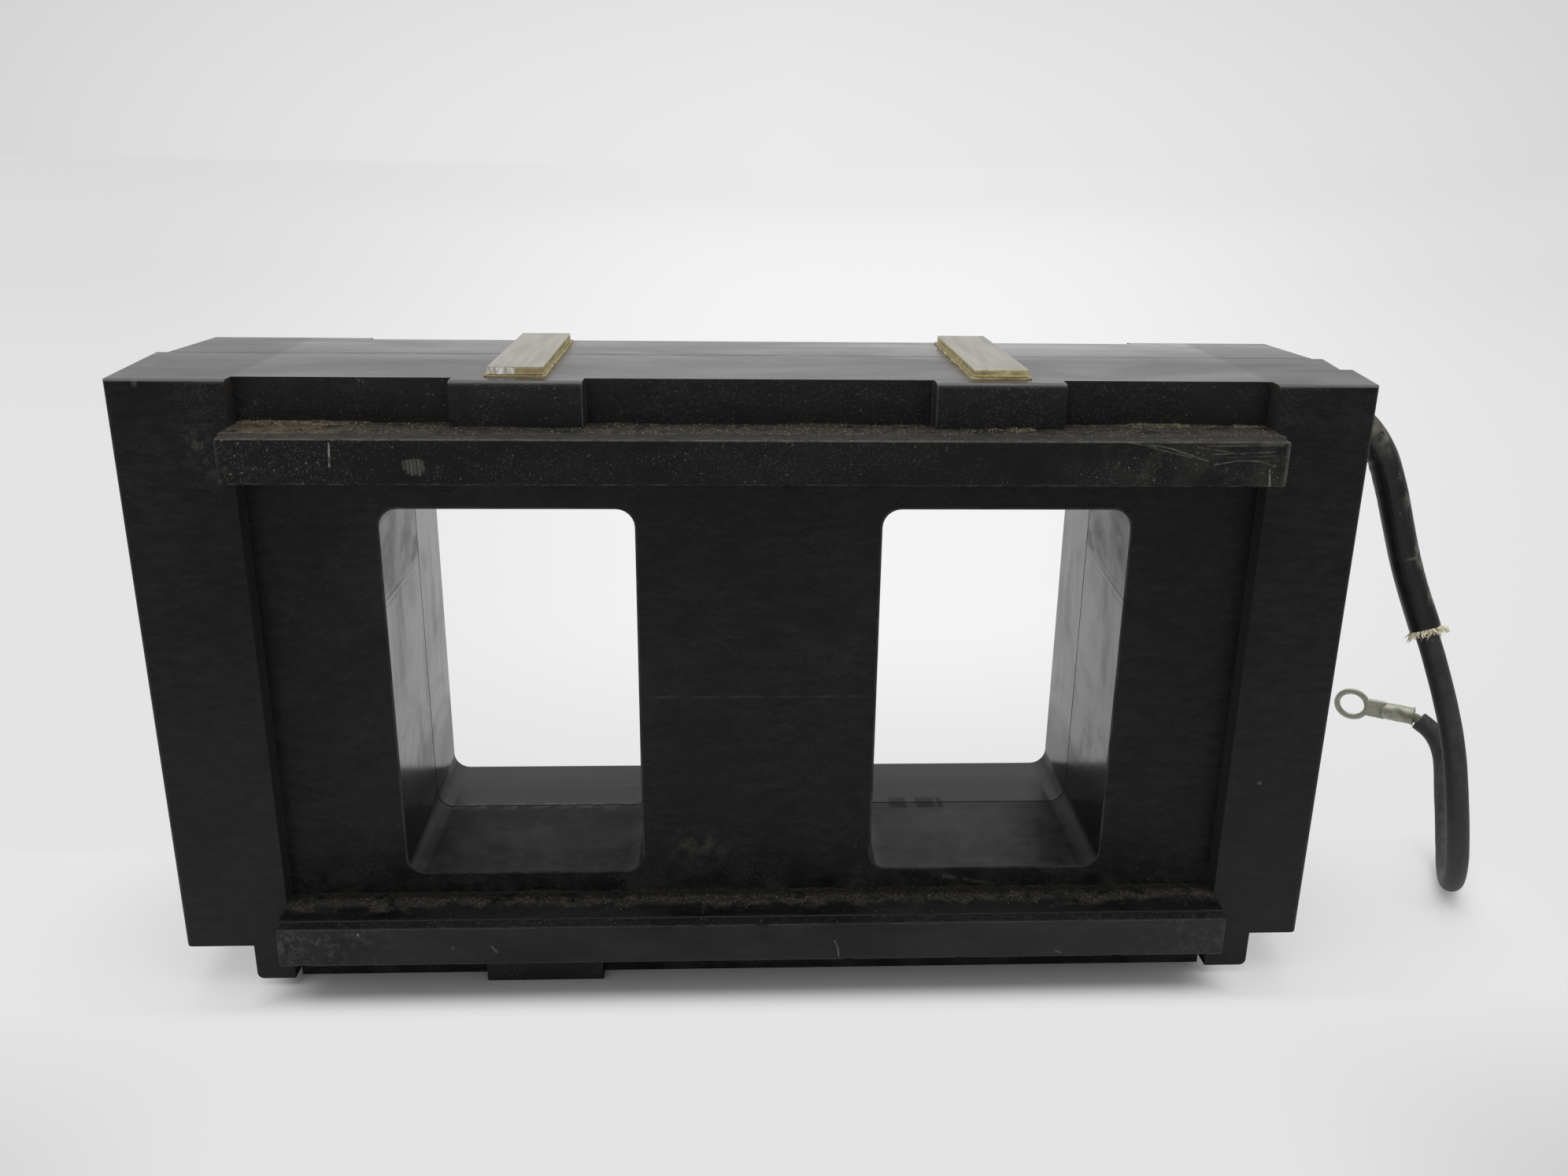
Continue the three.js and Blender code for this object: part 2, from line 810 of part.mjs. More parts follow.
addPiece('front_shell', toGeometry(frontShell()), finishes.moulding);
addPiece('rear_shell', toGeometry(rearShell()), finishes.moulding);
addPiece('upper_front_bar', toGeometry(frontBar(upperBarBottom)), finishes.bar);
addPiece('lower_front_bar', toGeometry(frontBar(lowerBarBottom)), finishes.bar);

for (const { name, sign } of sides) {
  addPiece(`${name}_shim_bond`, toGeometry(shimBond(sign)), finishes.bond);
  addPiece(`${name}_shim_strip`, toGeometry(shimStrip(sign)), finishes.shim);
  addPiece(`${name}_bobbin`, toGeometry(bobbin(sign)), finishes.bobbin);
  addPiece(`${name}_winding`, toGeometry(layer(sign, windingBoreGrow, windingGrow)), finishes.copper);
  addPiece(`${name}_winding_wrap`, toGeometry(layer(sign, wrapBoreGrow, wrapGrow)), finishes.wrap);
  addPiece(`${name}_potting`, toGeometry(potting(sign)), finishes.potting);
}

addPiece('coil_link', coilLink(), finishes.copper);
addPiece('start_tail', startTail(), finishes.copper);
addPiece('finish_tail', finishTail(), finishes.copper);
addPiece('lead_splice', leadSplice(), finishes.tin);
addPiece('lead_tail', leadTail(), finishes.rubber);
addPiece('lead_bush', leadBush(), finishes.rubber);
addPiece('lead_wire', tube(leadRoute, wireSteps, leadDiameter), finishes.rubber);
addPiece(
  'lead_sleeve',
  tube(new CurveStart(leadRoute, sleeveShare), sleeveSteps, sleeveDiameter, sleeveBore, roundSteps / 2),
  finishes.sleeve,
);
addPiece('sleeve_liner_end', linerEnd(), finishes.liner);

// The terminal bends down from the lead's last direction at the mouth of its barrel,
// where their rims keep the clearance, and its tongue stands close to upright.
const leadEnd = leadRoute.getPointAt(1);
const leadEndWay = leadRoute.getTangentAt(1);
const terminalSide = new THREE.Vector3(0, 0, 1).cross(leadEndWay).normalize();
const terminalUp = new THREE.Vector3().crossVectors(leadEndWay, terminalSide);
const terminalGap = fit + (barrelDiameter / 2) * Math.sin(terminalBend);
const terminal = new THREE.Group();
terminal.position.copy(leadEnd).addScaledVector(leadEndWay, terminalGap);
terminal.quaternion
  .setFromRotationMatrix(new THREE.Matrix4().makeBasis(leadEndWay, terminalUp, terminalSide.negate()))
  .multiply(new THREE.Quaternion().setFromEuler(new THREE.Euler(terminalTilt, 0, -terminalBend, 'ZYX')));
block.add(terminal);
addPiece('ring_terminal', ringTerminal(), finishes.tin, terminal);

const coilBlock = new THREE.Group();
coilBlock.add(block);

export default coilBlock;
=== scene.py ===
"""A magnet coil block with two core windows: its looks, its flying lead and a plain studio."""

from __future__ import annotations

import functools
import json
import logging
import math
import random
from dataclasses import dataclass
from enum import Enum
from typing import Callable, Sequence, Union

import bmesh
import bpy
from mathutils import Matrix, Quaternion, Vector, noise

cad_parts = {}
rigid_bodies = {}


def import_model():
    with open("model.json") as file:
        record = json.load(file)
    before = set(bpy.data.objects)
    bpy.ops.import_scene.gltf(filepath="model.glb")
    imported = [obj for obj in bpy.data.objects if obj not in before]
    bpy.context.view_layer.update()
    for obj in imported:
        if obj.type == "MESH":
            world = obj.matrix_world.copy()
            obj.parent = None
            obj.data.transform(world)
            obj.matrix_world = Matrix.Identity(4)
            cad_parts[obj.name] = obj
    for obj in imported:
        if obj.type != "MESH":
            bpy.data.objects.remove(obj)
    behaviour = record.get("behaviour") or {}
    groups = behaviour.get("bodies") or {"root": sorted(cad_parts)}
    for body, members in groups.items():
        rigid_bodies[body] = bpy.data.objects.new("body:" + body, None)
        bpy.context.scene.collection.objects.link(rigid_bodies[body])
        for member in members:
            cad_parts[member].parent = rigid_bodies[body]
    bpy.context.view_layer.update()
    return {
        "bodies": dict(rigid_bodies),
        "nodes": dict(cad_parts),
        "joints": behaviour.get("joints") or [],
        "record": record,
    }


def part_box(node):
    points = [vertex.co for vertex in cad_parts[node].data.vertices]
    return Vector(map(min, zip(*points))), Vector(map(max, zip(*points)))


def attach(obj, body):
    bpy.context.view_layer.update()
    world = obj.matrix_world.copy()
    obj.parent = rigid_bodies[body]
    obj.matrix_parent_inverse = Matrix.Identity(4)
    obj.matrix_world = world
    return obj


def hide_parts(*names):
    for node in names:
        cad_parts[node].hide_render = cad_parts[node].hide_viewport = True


LOG = logging.getLogger("coil_block")

Colour = tuple[float, float, float]
Blend = tuple[Colour, Colour]
Point2 = tuple[float, float]
Point3 = tuple[float, float, float]
Line = tuple[Point2, Point2, float, float]
Value = Union[float, "Signal"]
Measure = Callable[[float, float, float], float]

BODY = "root"


# Shader maths


class Signal:
    """An output socket whose operators add Math nodes."""

    def __init__(self, graph: Graph, socket: bpy.types.NodeSocket) -> None:
        """Keep the output socket and the graph that it belongs to."""
        self.graph = graph
        self.socket = socket

    def _maths(self, operation: str, *values: Value) -> Signal:
        """Add one Math node over the values and return its output."""
        return self.graph.node("ShaderNodeMath", {"operation": operation}, dict(enumerate(values)))

    def __add__(self, other: Value) -> Signal:
        """Return the sum."""
        return self._maths("ADD", self, other)

    __radd__ = __add__

    def __sub__(self, other: Value) -> Signal:
        """Return this less the other."""
        return self._maths("SUBTRACT", self, other)

    def __rsub__(self, other: Value) -> Signal:
        """Return the other less this."""
        return self._maths("SUBTRACT", other, self)

    def __mul__(self, other: Value) -> Signal:
        """Return the product."""
        return self._maths("MULTIPLY", self, other)

    __rmul__ = __mul__

    def __truediv__(self, other: Value) -> Signal:
        """Return this divided by the other."""
        return self._maths("DIVIDE", self, other)

    def __neg__(self) -> Signal:
        """Return the negative."""
        return self._maths("MULTIPLY", self, -1.0)

    def __abs__(self) -> Signal:
        """Return the size without its sign."""
        return self._maths("ABSOLUTE", self)

    def __pow__(self, power: Value) -> Signal:
        """Return this raised to a power."""
        return self._maths("POWER", self, power)

    def __lt__(self, limit: Value) -> Signal:
        """Return 1 where this is below the limit."""
        return self._maths("LESS_THAN", self, limit)

    def most(self, other: Value) -> Signal:
        """Return the larger of the two."""
        return self._maths("MAXIMUM", self, other)

    def least(self, other: Value) -> Signal:
        """Return the smaller of the two."""
        return self._maths("MINIMUM", self, other)

    def root(self) -> Signal:
        """Return the square root."""
        return self._maths("SQRT", self)

    def span(self, other: Signal) -> Signal:
        """Return the distance that this and the other make at right angles."""
        return (self ** 2.0 + other ** 2.0).root()

    def sine(self) -> Signal:
        """Return the sine of this angle."""
        return self._maths("SINE", self)

    def output(self, name: str) -> Signal:
        """Return another output of the same node."""
        return Signal(self.graph, self.socket.node.outputs[name])

    def rise(self, low: float, high: float, start: float = 0.0, end: float = 1.0) -> Signal:
        """Go smoothly from one value to another while this goes from low to high.

        Args:
            low: Where the rise starts.
            high: Where it ends.
            start: The value up to low.
            end: The value from high on.

        Returns:
            The eased value.
        """
        return self.graph.node(
            "ShaderNodeMapRange",
            {"interpolation_type": "SMOOTHSTEP"},
            {"Value": self, "From Min": low, "From Max": high, "To Min": start, "To Max": end},
        )

    def fall(self, low: float, high: float) -> Signal:
        """Return 1 up to low, easing to 0 at high."""
        return self.rise(low, high, 1.0, 0.0)

    def lane(self, centre: float, half: float, soft: float) -> Signal:
        """Return 1 in a lane round a value, easing to 0 over its soft edge."""
        return abs(self - centre).fall(half, half + soft)


class Graph:
    """The node tree of one material or world, and the places on the part that it starts from."""

    def __init__(self, tree: bpy.types.NodeTree) -> None:
        """Take over a node tree and empty it."""
        self.tree = tree
        tree.nodes.clear()

    def node(
        self,
        kind: str,
        settings: dict[str, object] | None = None,
        sockets: dict[int | str, object] | None = None,
        output: int | str = 0,
    ) -> Signal:
        """Add any node.

        Args:
            kind: The node's type.
            settings: Its own settings, and "stops" for a colour ramp, set first.
            sockets: Values or links for its inputs, by index or name.
            output: Which output to return.

        Returns:
            That output or, from a closing node, which has none, its first input.
        """
        made = self.tree.nodes.new(kind)
        for name, value in (settings or {}).items():
            if name == "stops":
                self._set_stops(made.color_ramp, value)
            else:
                setattr(made, name, value)
        for key, value in (sockets or {}).items():
            self._feed(made.inputs[key], value)
        return Signal(self, made.outputs[output] if len(made.outputs) else made.inputs[0])

    @staticmethod
    def _set_stops(ramp: bpy.types.ColorRamp, stops: Sequence[tuple[float, Colour]]) -> None:
        """Give a ramp its stops.

        Args:
            ramp: The ramp, with its first two elements.
            stops: Places from 0 to 1 in order, each with its colour.
        """
        for index, (place, colour) in enumerate(stops):
            element = ramp.elements[index] if index < 2 else ramp.elements.new(place)
            element.position = place
            element.color = (*colour, 1.0)

    def _feed(self, socket: bpy.types.NodeSocket, value: object) -> None:
        """Link a signal to a socket, or set its value.

        Args:
            socket: The input socket.
            value: A signal, a number or a colour.
        """
        if isinstance(value, Signal):
            self.tree.links.new(value.socket, socket)
        elif socket.type == "RGBA" and len(value) == 3:
            socket.default_value = (*value, 1.0)
        else:
            socket.default_value = value

    @functools.cached_property
    def place(self) -> Signal:
        """The point on the part, in metres."""
        return self.node("ShaderNodeTexCoord", output="Object")

    @functools.cached_property
    def axes(self) -> tuple[Signal, Signal, Signal]:
        """The point's x, y and z."""
        return self.split(self.place)

    @functools.cached_property
    def facing(self) -> tuple[Signal, Signal, Signal]:
        """The surface normal's x, y and z."""
        return self.split(self.node("ShaderNodeNewGeometry", output="Normal"))

    def split(self, vector: Signal) -> tuple[Signal, Signal, Signal]:
        """Return a vector's three numbers."""
        first = self.node("ShaderNodeSeparateXYZ", sockets={0: vector})
        return first, first.output("Y"), first.output("Z")

    def stretched(self, stretch: Point3, turn: Point3 = (0.0, 0.0, 0.0)) -> Signal:
        """Turn the point and then stretch it along each axis.

        Args:
            stretch: The factor along each axis.
            turn: The turn round each axis, in radians.

        Returns:
            The new point.
        """
        settings = {"vector_type": "TEXTURE"}
        turned = self.node("ShaderNodeMapping", settings, {"Vector": self.place, "Rotation": turn})
        return self.node("ShaderNodeMapping", sockets={"Vector": turned, "Scale": stretch})

    def clouds(
        self,
        scale: float,
        detail: float = 3.0,
        roughness: float = 0.5,
        at: Signal | None = None,
        warp: float = 0.0,
    ) -> Signal:
        """Add a noise from 0 to 1.

        Args:
            scale: Features per metre.
            detail: Octaves.
            roughness: Share of the finer octaves.
            at: Where to read it, the point itself if left out.
            warp: Distortion.

        Returns:
            The noise.
        """
        return self.node(
            "ShaderNodeTexNoise",
            sockets={
                "Vector": at or self.place,
                "Scale": scale,
                "Detail": detail,
                "Roughness": roughness,
                "Distortion": warp,
            },
        )

    def grains(self, scale: float, size: float, keep: float) -> Signal:
        """Scatter round grains.

        Args:
            scale: Cells per metre.
            size: A grain's radius as a share of its cell.
            keep: The share of the cells that hold a grain.

        Returns:
            1 on a grain and 0 elsewhere.
        """
        cells = self.node(
            "ShaderNodeTexVoronoi",
            sockets={"Vector": self.place, "Scale": scale},
            output="Distance",
        )
        chance = self.split(cells.output("Color"))[0]
        return cells.fall(size * 0.6, size) * (chance < keep)

    def scratch(self, u: Signal, v: Signal, start: Point2, end: Point2, width: float) -> Signal:
        """Draw one straight scratch.

        Args:
            u: The first coordinate on the surface.
            v: The second coordinate.
            start: Where the scratch starts.
            end: Where it ends.
            width: Its width.

        Returns:
            1 on the scratch, easing to 0 beside it.
        """
        run = (end[0] - start[0], end[1] - start[1])
        square = run[0] ** 2 + run[1] ** 2
        from_u, from_v = u - start[0], v - start[1]
        share = ((from_u * run[0] + from_v * run[1]) / square).most(0.0).least(1.0)
        off_u, off_v = from_u - share * run[0], from_v - share * run[1]
        return (off_u * off_u + off_v * off_v).root().fall(width * 0.3, width)

    def sight(self) -> tuple[Signal, Signal]:
        """Tell the rays that look at a surface from those that only light it.

        Returns:
            1 on camera, mirrored and transmitted rays, and 1 on the mirrored ones alone.
        """
        path = self.node("ShaderNodeLightPath")
        mirrored = path.output("Is Glossy Ray")
        return (path + mirrored + path.output("Is Transmission Ray")).least(1.0), mirrored

    def mix(self, mask: Value, low: Colour | Signal, high: Colour | Signal) -> Signal:
        """Mix two colours by a mask."""
        sockets = {0: mask, 6: low, 7: high}
        return self.node("ShaderNodeMix", {"data_type": "RGBA"}, sockets, output=2)

    def shade(self, colour: Colour | Signal, amount: Value) -> Signal:
        """Scale a colour by an amount."""
        sockets = {0: colour, "Scale": amount}
        return self.node("ShaderNodeVectorMath", {"operation": "SCALE"}, sockets)

    def surface(
        self,
        base: Colour | Signal,
        rough: Value,
        relief: Signal | None = None,
        depth: float = 0.0001,
        **uniform: Value,
    ) -> None:
        """Close the graph with one Principled surface.

        Args:
            base: Base colour.
            rough: Roughness.
            relief: Height from 0 to 1 for the bump, if there is one.
            depth: The height that 1 stands for, in metres.
            **uniform: Other inputs, with underscores for the spaces in their names.
        """
        sockets: dict[int | str, object] = {"Base Color": base, "Roughness": rough}
        sockets.update({name.replace("_", " "): value for name, value in uniform.items()})
        if relief is not None:
            bump = {"Strength": 1.0, "Distance": depth, "Height": relief}
            sockets["Normal"] = self.node("ShaderNodeBump", sockets=bump)
        shader = self.node("ShaderNodeBsdfPrincipled", sockets=sockets)
        self.node("ShaderNodeOutputMaterial", sockets={"Surface": shader})


# Sizes of the block that the finishes and the pieces share


@dataclass(frozen=True)
class BlockPlan:
    """Places on the block, in metres, in the frame's axes."""

    face: float = -0.02455
    panel: float = -0.02035
    seam: float = 0.01005
    seam_gap: float = 0.0003
    recess: Point2 = (-0.1, 0.1026)
    middle: float = 0.0013
    window_offset: float = 0.0504
    window_half: Point2 = (0.0254, 0.041)
    window_height: float = 0.0665
    window_radius: float = 0.0038
    shim_offset: float = 0.0476
    shim_half: Point2 = (0.0054, 0.02425)
    shim_middle: float = 0.0057
    rib_offset: float = 0.0468
    rib_half: float = 0.01275
    upper_ledge: float = 0.1247
    lower_ledge: float = 0.0204
    midway: Point2 = (0.05, 0.06)
    crown: Point2 = (0.128, 0.130)
    bar: Point2 = (-0.0996, 0.1022)
    bar_height: float = 0.009

    def window_edge(self, graph: Graph) -> Signal:
        """Measure how far a point lies outside the nearer window's outline.

        Args:
            graph: The graph that the nodes are added to.

        Returns:
            The distance in metres, below 0 inside the window.
        """
        x, _, z = graph.axes
        half_x, half_z = (half - self.window_radius for half in self.window_half)
        across = abs(abs(x - self.middle) - self.window_offset) - half_x
        up = abs(z - self.window_height) - half_z
        corner = across.most(0.0).span(up.most(0.0))
        return corner + across.most(up).least(0.0) - self.window_radius


PLAN = BlockPlan()


# Finishes


@dataclass(frozen=True)
class Finish:
    """A named material that paints itself into a graph."""

    name: str

    def paint(self, graph: Graph) -> None:
        """Fill the graph; each finish has its own way."""
        raise NotImplementedError


@functools.lru_cache(maxsize=None)
def material_of(finish: Finish) -> bpy.types.Material:
    """Make a finish's material once.

    Args:
        finish: The finish.

    Returns:
        Its material.
    """
    material = bpy.data.materials.new(finish.name)
    material.use_nodes = True
    finish.paint(Graph(material.node_tree))
    return material


class MouldingMarks:
    """The regions of the moulding and the marks on them, as masks: 1 on each and 0 elsewhere."""

    def __init__(self, graph: Graph) -> None:
        """Mark the regions and add the noises that several marks share.

        Args:
            graph: The graph that the nodes are added to.
        """
        self.graph = graph
        self.x, self.y, self.z = x, y, z = graph.axes
        _, facing_y, facing_z = graph.facing
        self.front = (-facing_y).rise(0.6, 0.9)
        self.up = facing_z.rise(0.6, 0.9)
        self.sunk = self.front * y.rise(PLAN.face + 0.0015, PLAN.face + 0.0025)
        self.raised = self.front * (1 - self.sunk)
        self.crown = self.up * z.rise(*PLAN.crown)
        self.ledge = self.up * y.fall(PLAN.panel + 0.0004, PLAN.panel + 0.0008) * z.fall(*PLAN.crown)
        self.lower = z.fall(*PLAN.midway)
        flank = (1 - self.front) * (1 - self.up) * y.fall(PLAN.panel, PLAN.panel + 0.0004)
        self.flank = flank * abs(x).fall(0.105, 0.106) * z.rise(0.003, 0.004)
        left, right = PLAN.recess
        self.outside = (x - left).fall(-0.001, 0.001).most((x - right).rise(-0.001, 0.001))
        self.edge = PLAN.window_edge(graph)
        self.wall = self.edge.fall(0.0001, 0.0005) * (1 - self.front)
        self.side = self.wall * (1 - self.up)
        self.sill = self.wall * self.up
        # The lower part of the window side walls, where a dark reflection is painted into the colour.
        self.painted_dark_low_wall = self.side * z.fall(0.034, 0.047)
        self.rounded = self.wall * abs(facing_z).lane(0.6, 0.45, 0.1)
        self.rear = y.rise(PLAN.seam, PLAN.seam + PLAN.seam_gap)
        self.fore = 1 - self.rear

        self.mottle = graph.clouds(70, 5, 0.6)
        self.patches = graph.clouds(28, 5, 0.65)
        self.blotches = graph.clouds(160, 4, 0.65).rise(0.42, 0.66)
        self.fine = graph.clouds(1500, 2, 0.6)
        self.worn = graph.clouds(180, 4, 0.7).rise(0.35, 0.65)
        self.drawn = graph.clouds(1.0, 4, 0.7, graph.stretched((260.0, 420.0, 760.0)))
        self.streaks = graph.clouds(1.0, 4, 0.6, graph.stretched((9.0, 260.0, 9.0)))
        self.stains = graph.clouds(1.0, 5, 0.6, graph.stretched((1.0, 40.0, 40.0), (0.6, 0.0, 0.0)), 1.2)

    @functools.cached_property
    def film(self) -> Signal:
        """Grey film, thickest on the sides of the ribs and the recess, and painted light low on the end
        blocks, lighter towards the floor.
        """
        film = self.patches.rise(0.45, 0.75) * (0.08 + 0.14 * self.sunk)
        film = film + 0.05 * self.crown * self.mottle + 0.95 * self.flank
        # Painted light: the end blocks lighter towards the floor.
        film = film + self.raised * self.z.fall(0.02, 0.10) * (0.14 + 0.16 * self.mottle)
        film = film + self.sunk * self.z.rise(0.115, 0.120) * 0.16
        film = film + self.raised * self.z.rise(0.121, 0.124) * abs(self.x).fall(0.098, 0.099) * 0.22
        film = film + self.sunk * self.z.fall(0.0205, 0.030) * 0.5 * self.blotches
        return film + self.crown * self.outside * self.mottle * 0.5

    @functools.cached_property
    def specks(self) -> Signal:
        """Light specks, thickest by the bars, in the corners and on the ribs."""
        x, z = self.x, self.z
        loose = self.graph.grains(1000, 0.22, 0.16) * self.patches.rise(0.36, 0.60)
        powder = self.graph.grains(3000, 0.36, 0.40) * self.mottle.rise(0.34, 0.58)
        corner = abs(x - PLAN.recess[0]).least(abs(x - PLAN.recess[1])).fall(0.0003, 0.0020)
        on_panel = 0.20 + z.rise(0.110, 0.118) * 0.6 + z.fall(0.02, 0.045) * 0.35
        on_panel = on_panel + corner * z.rise(0.10, 0.12)
        inside = abs(x).fall(0.0985, 0.100)
        by_recess = abs(x).fall(0.104, 0.112) * z.rise(0.106, 0.118)
        on_block = 0.06 + z.rise(0.100, 0.120) * 0.20 + z.fall(0.02, 0.03) * 0.12
        on_block = on_block + by_recess * 0.4 + inside * 0.7
        amount = (self.sunk * on_panel + self.raised * on_block).least(1.0)
        return amount * (loose * 0.5 + powder * 0.42)

    @functools.cached_property
    def cover(self) -> Signal:
        """Dust on the ledges: all of the upper one, and a ragged lane at the back of the lower."""
        ragged = self.y + 0.0026 * self.blotches + 0.0016 * self.graph.clouds(520, 4, 0.7)
        lane = ragged.rise(PLAN.panel - 0.0058, PLAN.panel - 0.0026)
        lane = lane * (1 - 0.65 * self.y.rise(PLAN.panel - 0.0034, PLAN.panel - 0.0012))
        cover = self.ledge * (self.lower * lane + (1 - self.lower))
        cover = cover * self.graph.clouds(240, 4, 0.7).rise(0.3, 0.55)
        return cover * self.y.rise(PLAN.face - 0.0063, PLAN.face - 0.0052)

    @functools.cached_property
    def fringe(self) -> Signal:
        """Pale marks along the front edge of the top."""
        return self.crown * self.y.fall(PLAN.face + 0.0004, PLAN.face + 0.0030) * self.blotches

    @functools.cached_property
    def halo(self) -> Signal:
        """Residue smeared round the strips on top."""
        across = abs(abs(self.x - PLAN.middle) - PLAN.shim_offset) - PLAN.shim_half[0]
        along = abs(self.y - PLAN.shim_middle) - PLAN.shim_half[1]
        smeared = self.graph.clouds(300, 4, 0.65).rise(0.38, 0.6)
        return self.crown * (across.most(along).fall(0.0006, 0.0028) * smeared)

    @functools.cached_property
    def wear_and_edge_highlight(self) -> Signal:
        """Where it is worn light, with painted edge highlights: the window rims and the ribs' edges,
        brighter where worn, then a line, a smudge, scuffs, a dot and scratches.
        """
        x, z, worn, graph = self.x, self.z, self.worn, self.graph
        # Painted edge highlight round the windows, brighter where worn.
        rim = self.front * self.edge.fall(0.0002, 0.0006) * (0.18 + 0.45 * worn)
        from_middle = PLAN.rib_offset - abs(x - PLAN.middle)
        # Painted edge highlight along the ribs' edges, brighter where worn.
        rib_edge_highlight = from_middle.lane(PLAN.rib_half, 0.00015, 0.0003) * z.rise(0.1245, 0.125) * self.front
        line = z.lane(0.0667, 0.0001, 0.0003) * x.rise(-0.024, -0.020) * x.fall(0.022, 0.027) * self.front
        smudge = (x + 0.0115).span((z - 0.031) * 1.3).fall(0.002, 0.009)
        smudge = smudge * graph.clouds(400, 5, 0.7).rise(0.4, 0.65) * self.front
        by_bar = (x + 0.1050).span((z - 0.1200) * 0.8).fall(0.001, 0.007)
        scuff = by_bar * graph.clouds(500, 5, 0.75).rise(0.48, 0.62) * self.front
        rub = graph.scratch(x, z, (0.0428, 0.0232), (0.0478, 0.0226), 0.0007) * 1.2
        rub = rub.most(graph.scratch(x, z, (0.0478, 0.0222), (0.0542, 0.0212), 0.0006) * 0.7)
        scuff = scuff + rub * graph.clouds(700, 4, 0.75).rise(0.36, 0.6) * self.front
        dot = (x - 0.1095).span(z - 0.0477).fall(0.0003, 0.0006) * self.front
        light = rim + (0.3 + 0.6 * worn) * rib_edge_highlight + line * worn * 0.35 + smudge * 0.35
        return light + scuff * 0.5 + dot + self.top_scratches * 0.7

    @functools.cached_property
    def top_scratches(self) -> Signal:
        """The scratches at both ends of the top."""
        x, y, graph = self.x, self.y, self.graph
        left = graph.scratch(x, y, (-0.1165, PLAN.face), (-0.1245, 0.008), 0.0007)
        right = graph.scratch(x, y, (0.1085, -0.014), (0.1195, -0.002), 0.0008)
        right = right.most(graph.scratch(x, y, (0.1120, -0.020), (0.1150, 0.006), 0.0006))
        return left.most(right) * self.z.rise(0.132, 0.133) * self.worn

    @functools.cached_property
    def over_joint(self) -> Signal:
        """How far a point lies above the joint line across the window walls, in metres."""
        slope = 0.095 * self.x.rise(-0.001, 0.001) - 0.016
        return self.z - 0.0882 - (self.y - PLAN.panel) * slope

    @functools.cached_property
    def joint(self) -> Signal:
        """The joint line, doubled and fading to the back."""
        over = self.over_joint
        joint = over.lane(0.0, 0.0002, 0.0005).most((over + 0.0016).lane(0.0, 0.0001, 0.0004) * 0.6)
        joint = joint * (self.y.fall(PLAN.seam - 0.001, PLAN.seam) * self.wall)
        return joint * self.y.rise(PLAN.panel + 0.010, PLAN.panel + 0.022, 1.0, 0.35)

    @functools.cached_property
    def soiled(self) -> Signal:
        """Dull soil on the window walls: veins, drips, rounded corners and the joint."""
        graph = self.graph
        veined = graph.clouds(1.0, 5, 0.6, graph.stretched((1.0, 46.0, 90.0), (0.35, 0.0, 0.0)), 1.4)
        drips = graph.clouds(1.0, 5, 0.65, graph.stretched((1.0, 150.0, 22.0)), 0.6)
        soiled = self.over_joint.rise(-0.0002, 0.0014) * self.fore * veined.rise(0.38, 0.62, 0.50, 1.0)
        soiled = soiled.most(veined.rise(0.45, 0.60) * self.z.fall(0.046, 0.075) * self.fore * 0.35)
        soiled = soiled.most(drips.rise(0.50, 0.70) * 0.4) * (1 - 0.85 * self.painted_dark_low_wall)
        return soiled.most(self.rounded * 0.7).most(self.joint * 0.9)

    @functools.cached_property
    def chalked(self) -> Signal:
        """Pale crumbs along the seam on the left sill."""
        by_seam = abs(self.y - PLAN.seam).fall(0.0004, 0.0022)
        by_seam = by_seam * self.graph.clouds(330, 4, 0.7).rise(0.46, 0.60)
        return self.sill * by_seam * self.x.fall(0.0, 0.01)

    @functools.cached_property
    def dashes(self) -> Signal:
        """Three dark dashes along the seam on the right sill."""
        x = self.x
        dashes = x.lane(0.0361, 0.0016, 0.0010).most(x.lane(0.0428, 0.0018, 0.0010))
        dashes = dashes.most(x.lane(0.0464, 0.0004, 0.0005))
        dashes = dashes * self.graph.clouds(500, 3, 0.6).rise(0.15, 0.40)
        return dashes * self.sill * abs(self.y - PLAN.seam - 0.0001).fall(0.0019, 0.0032)


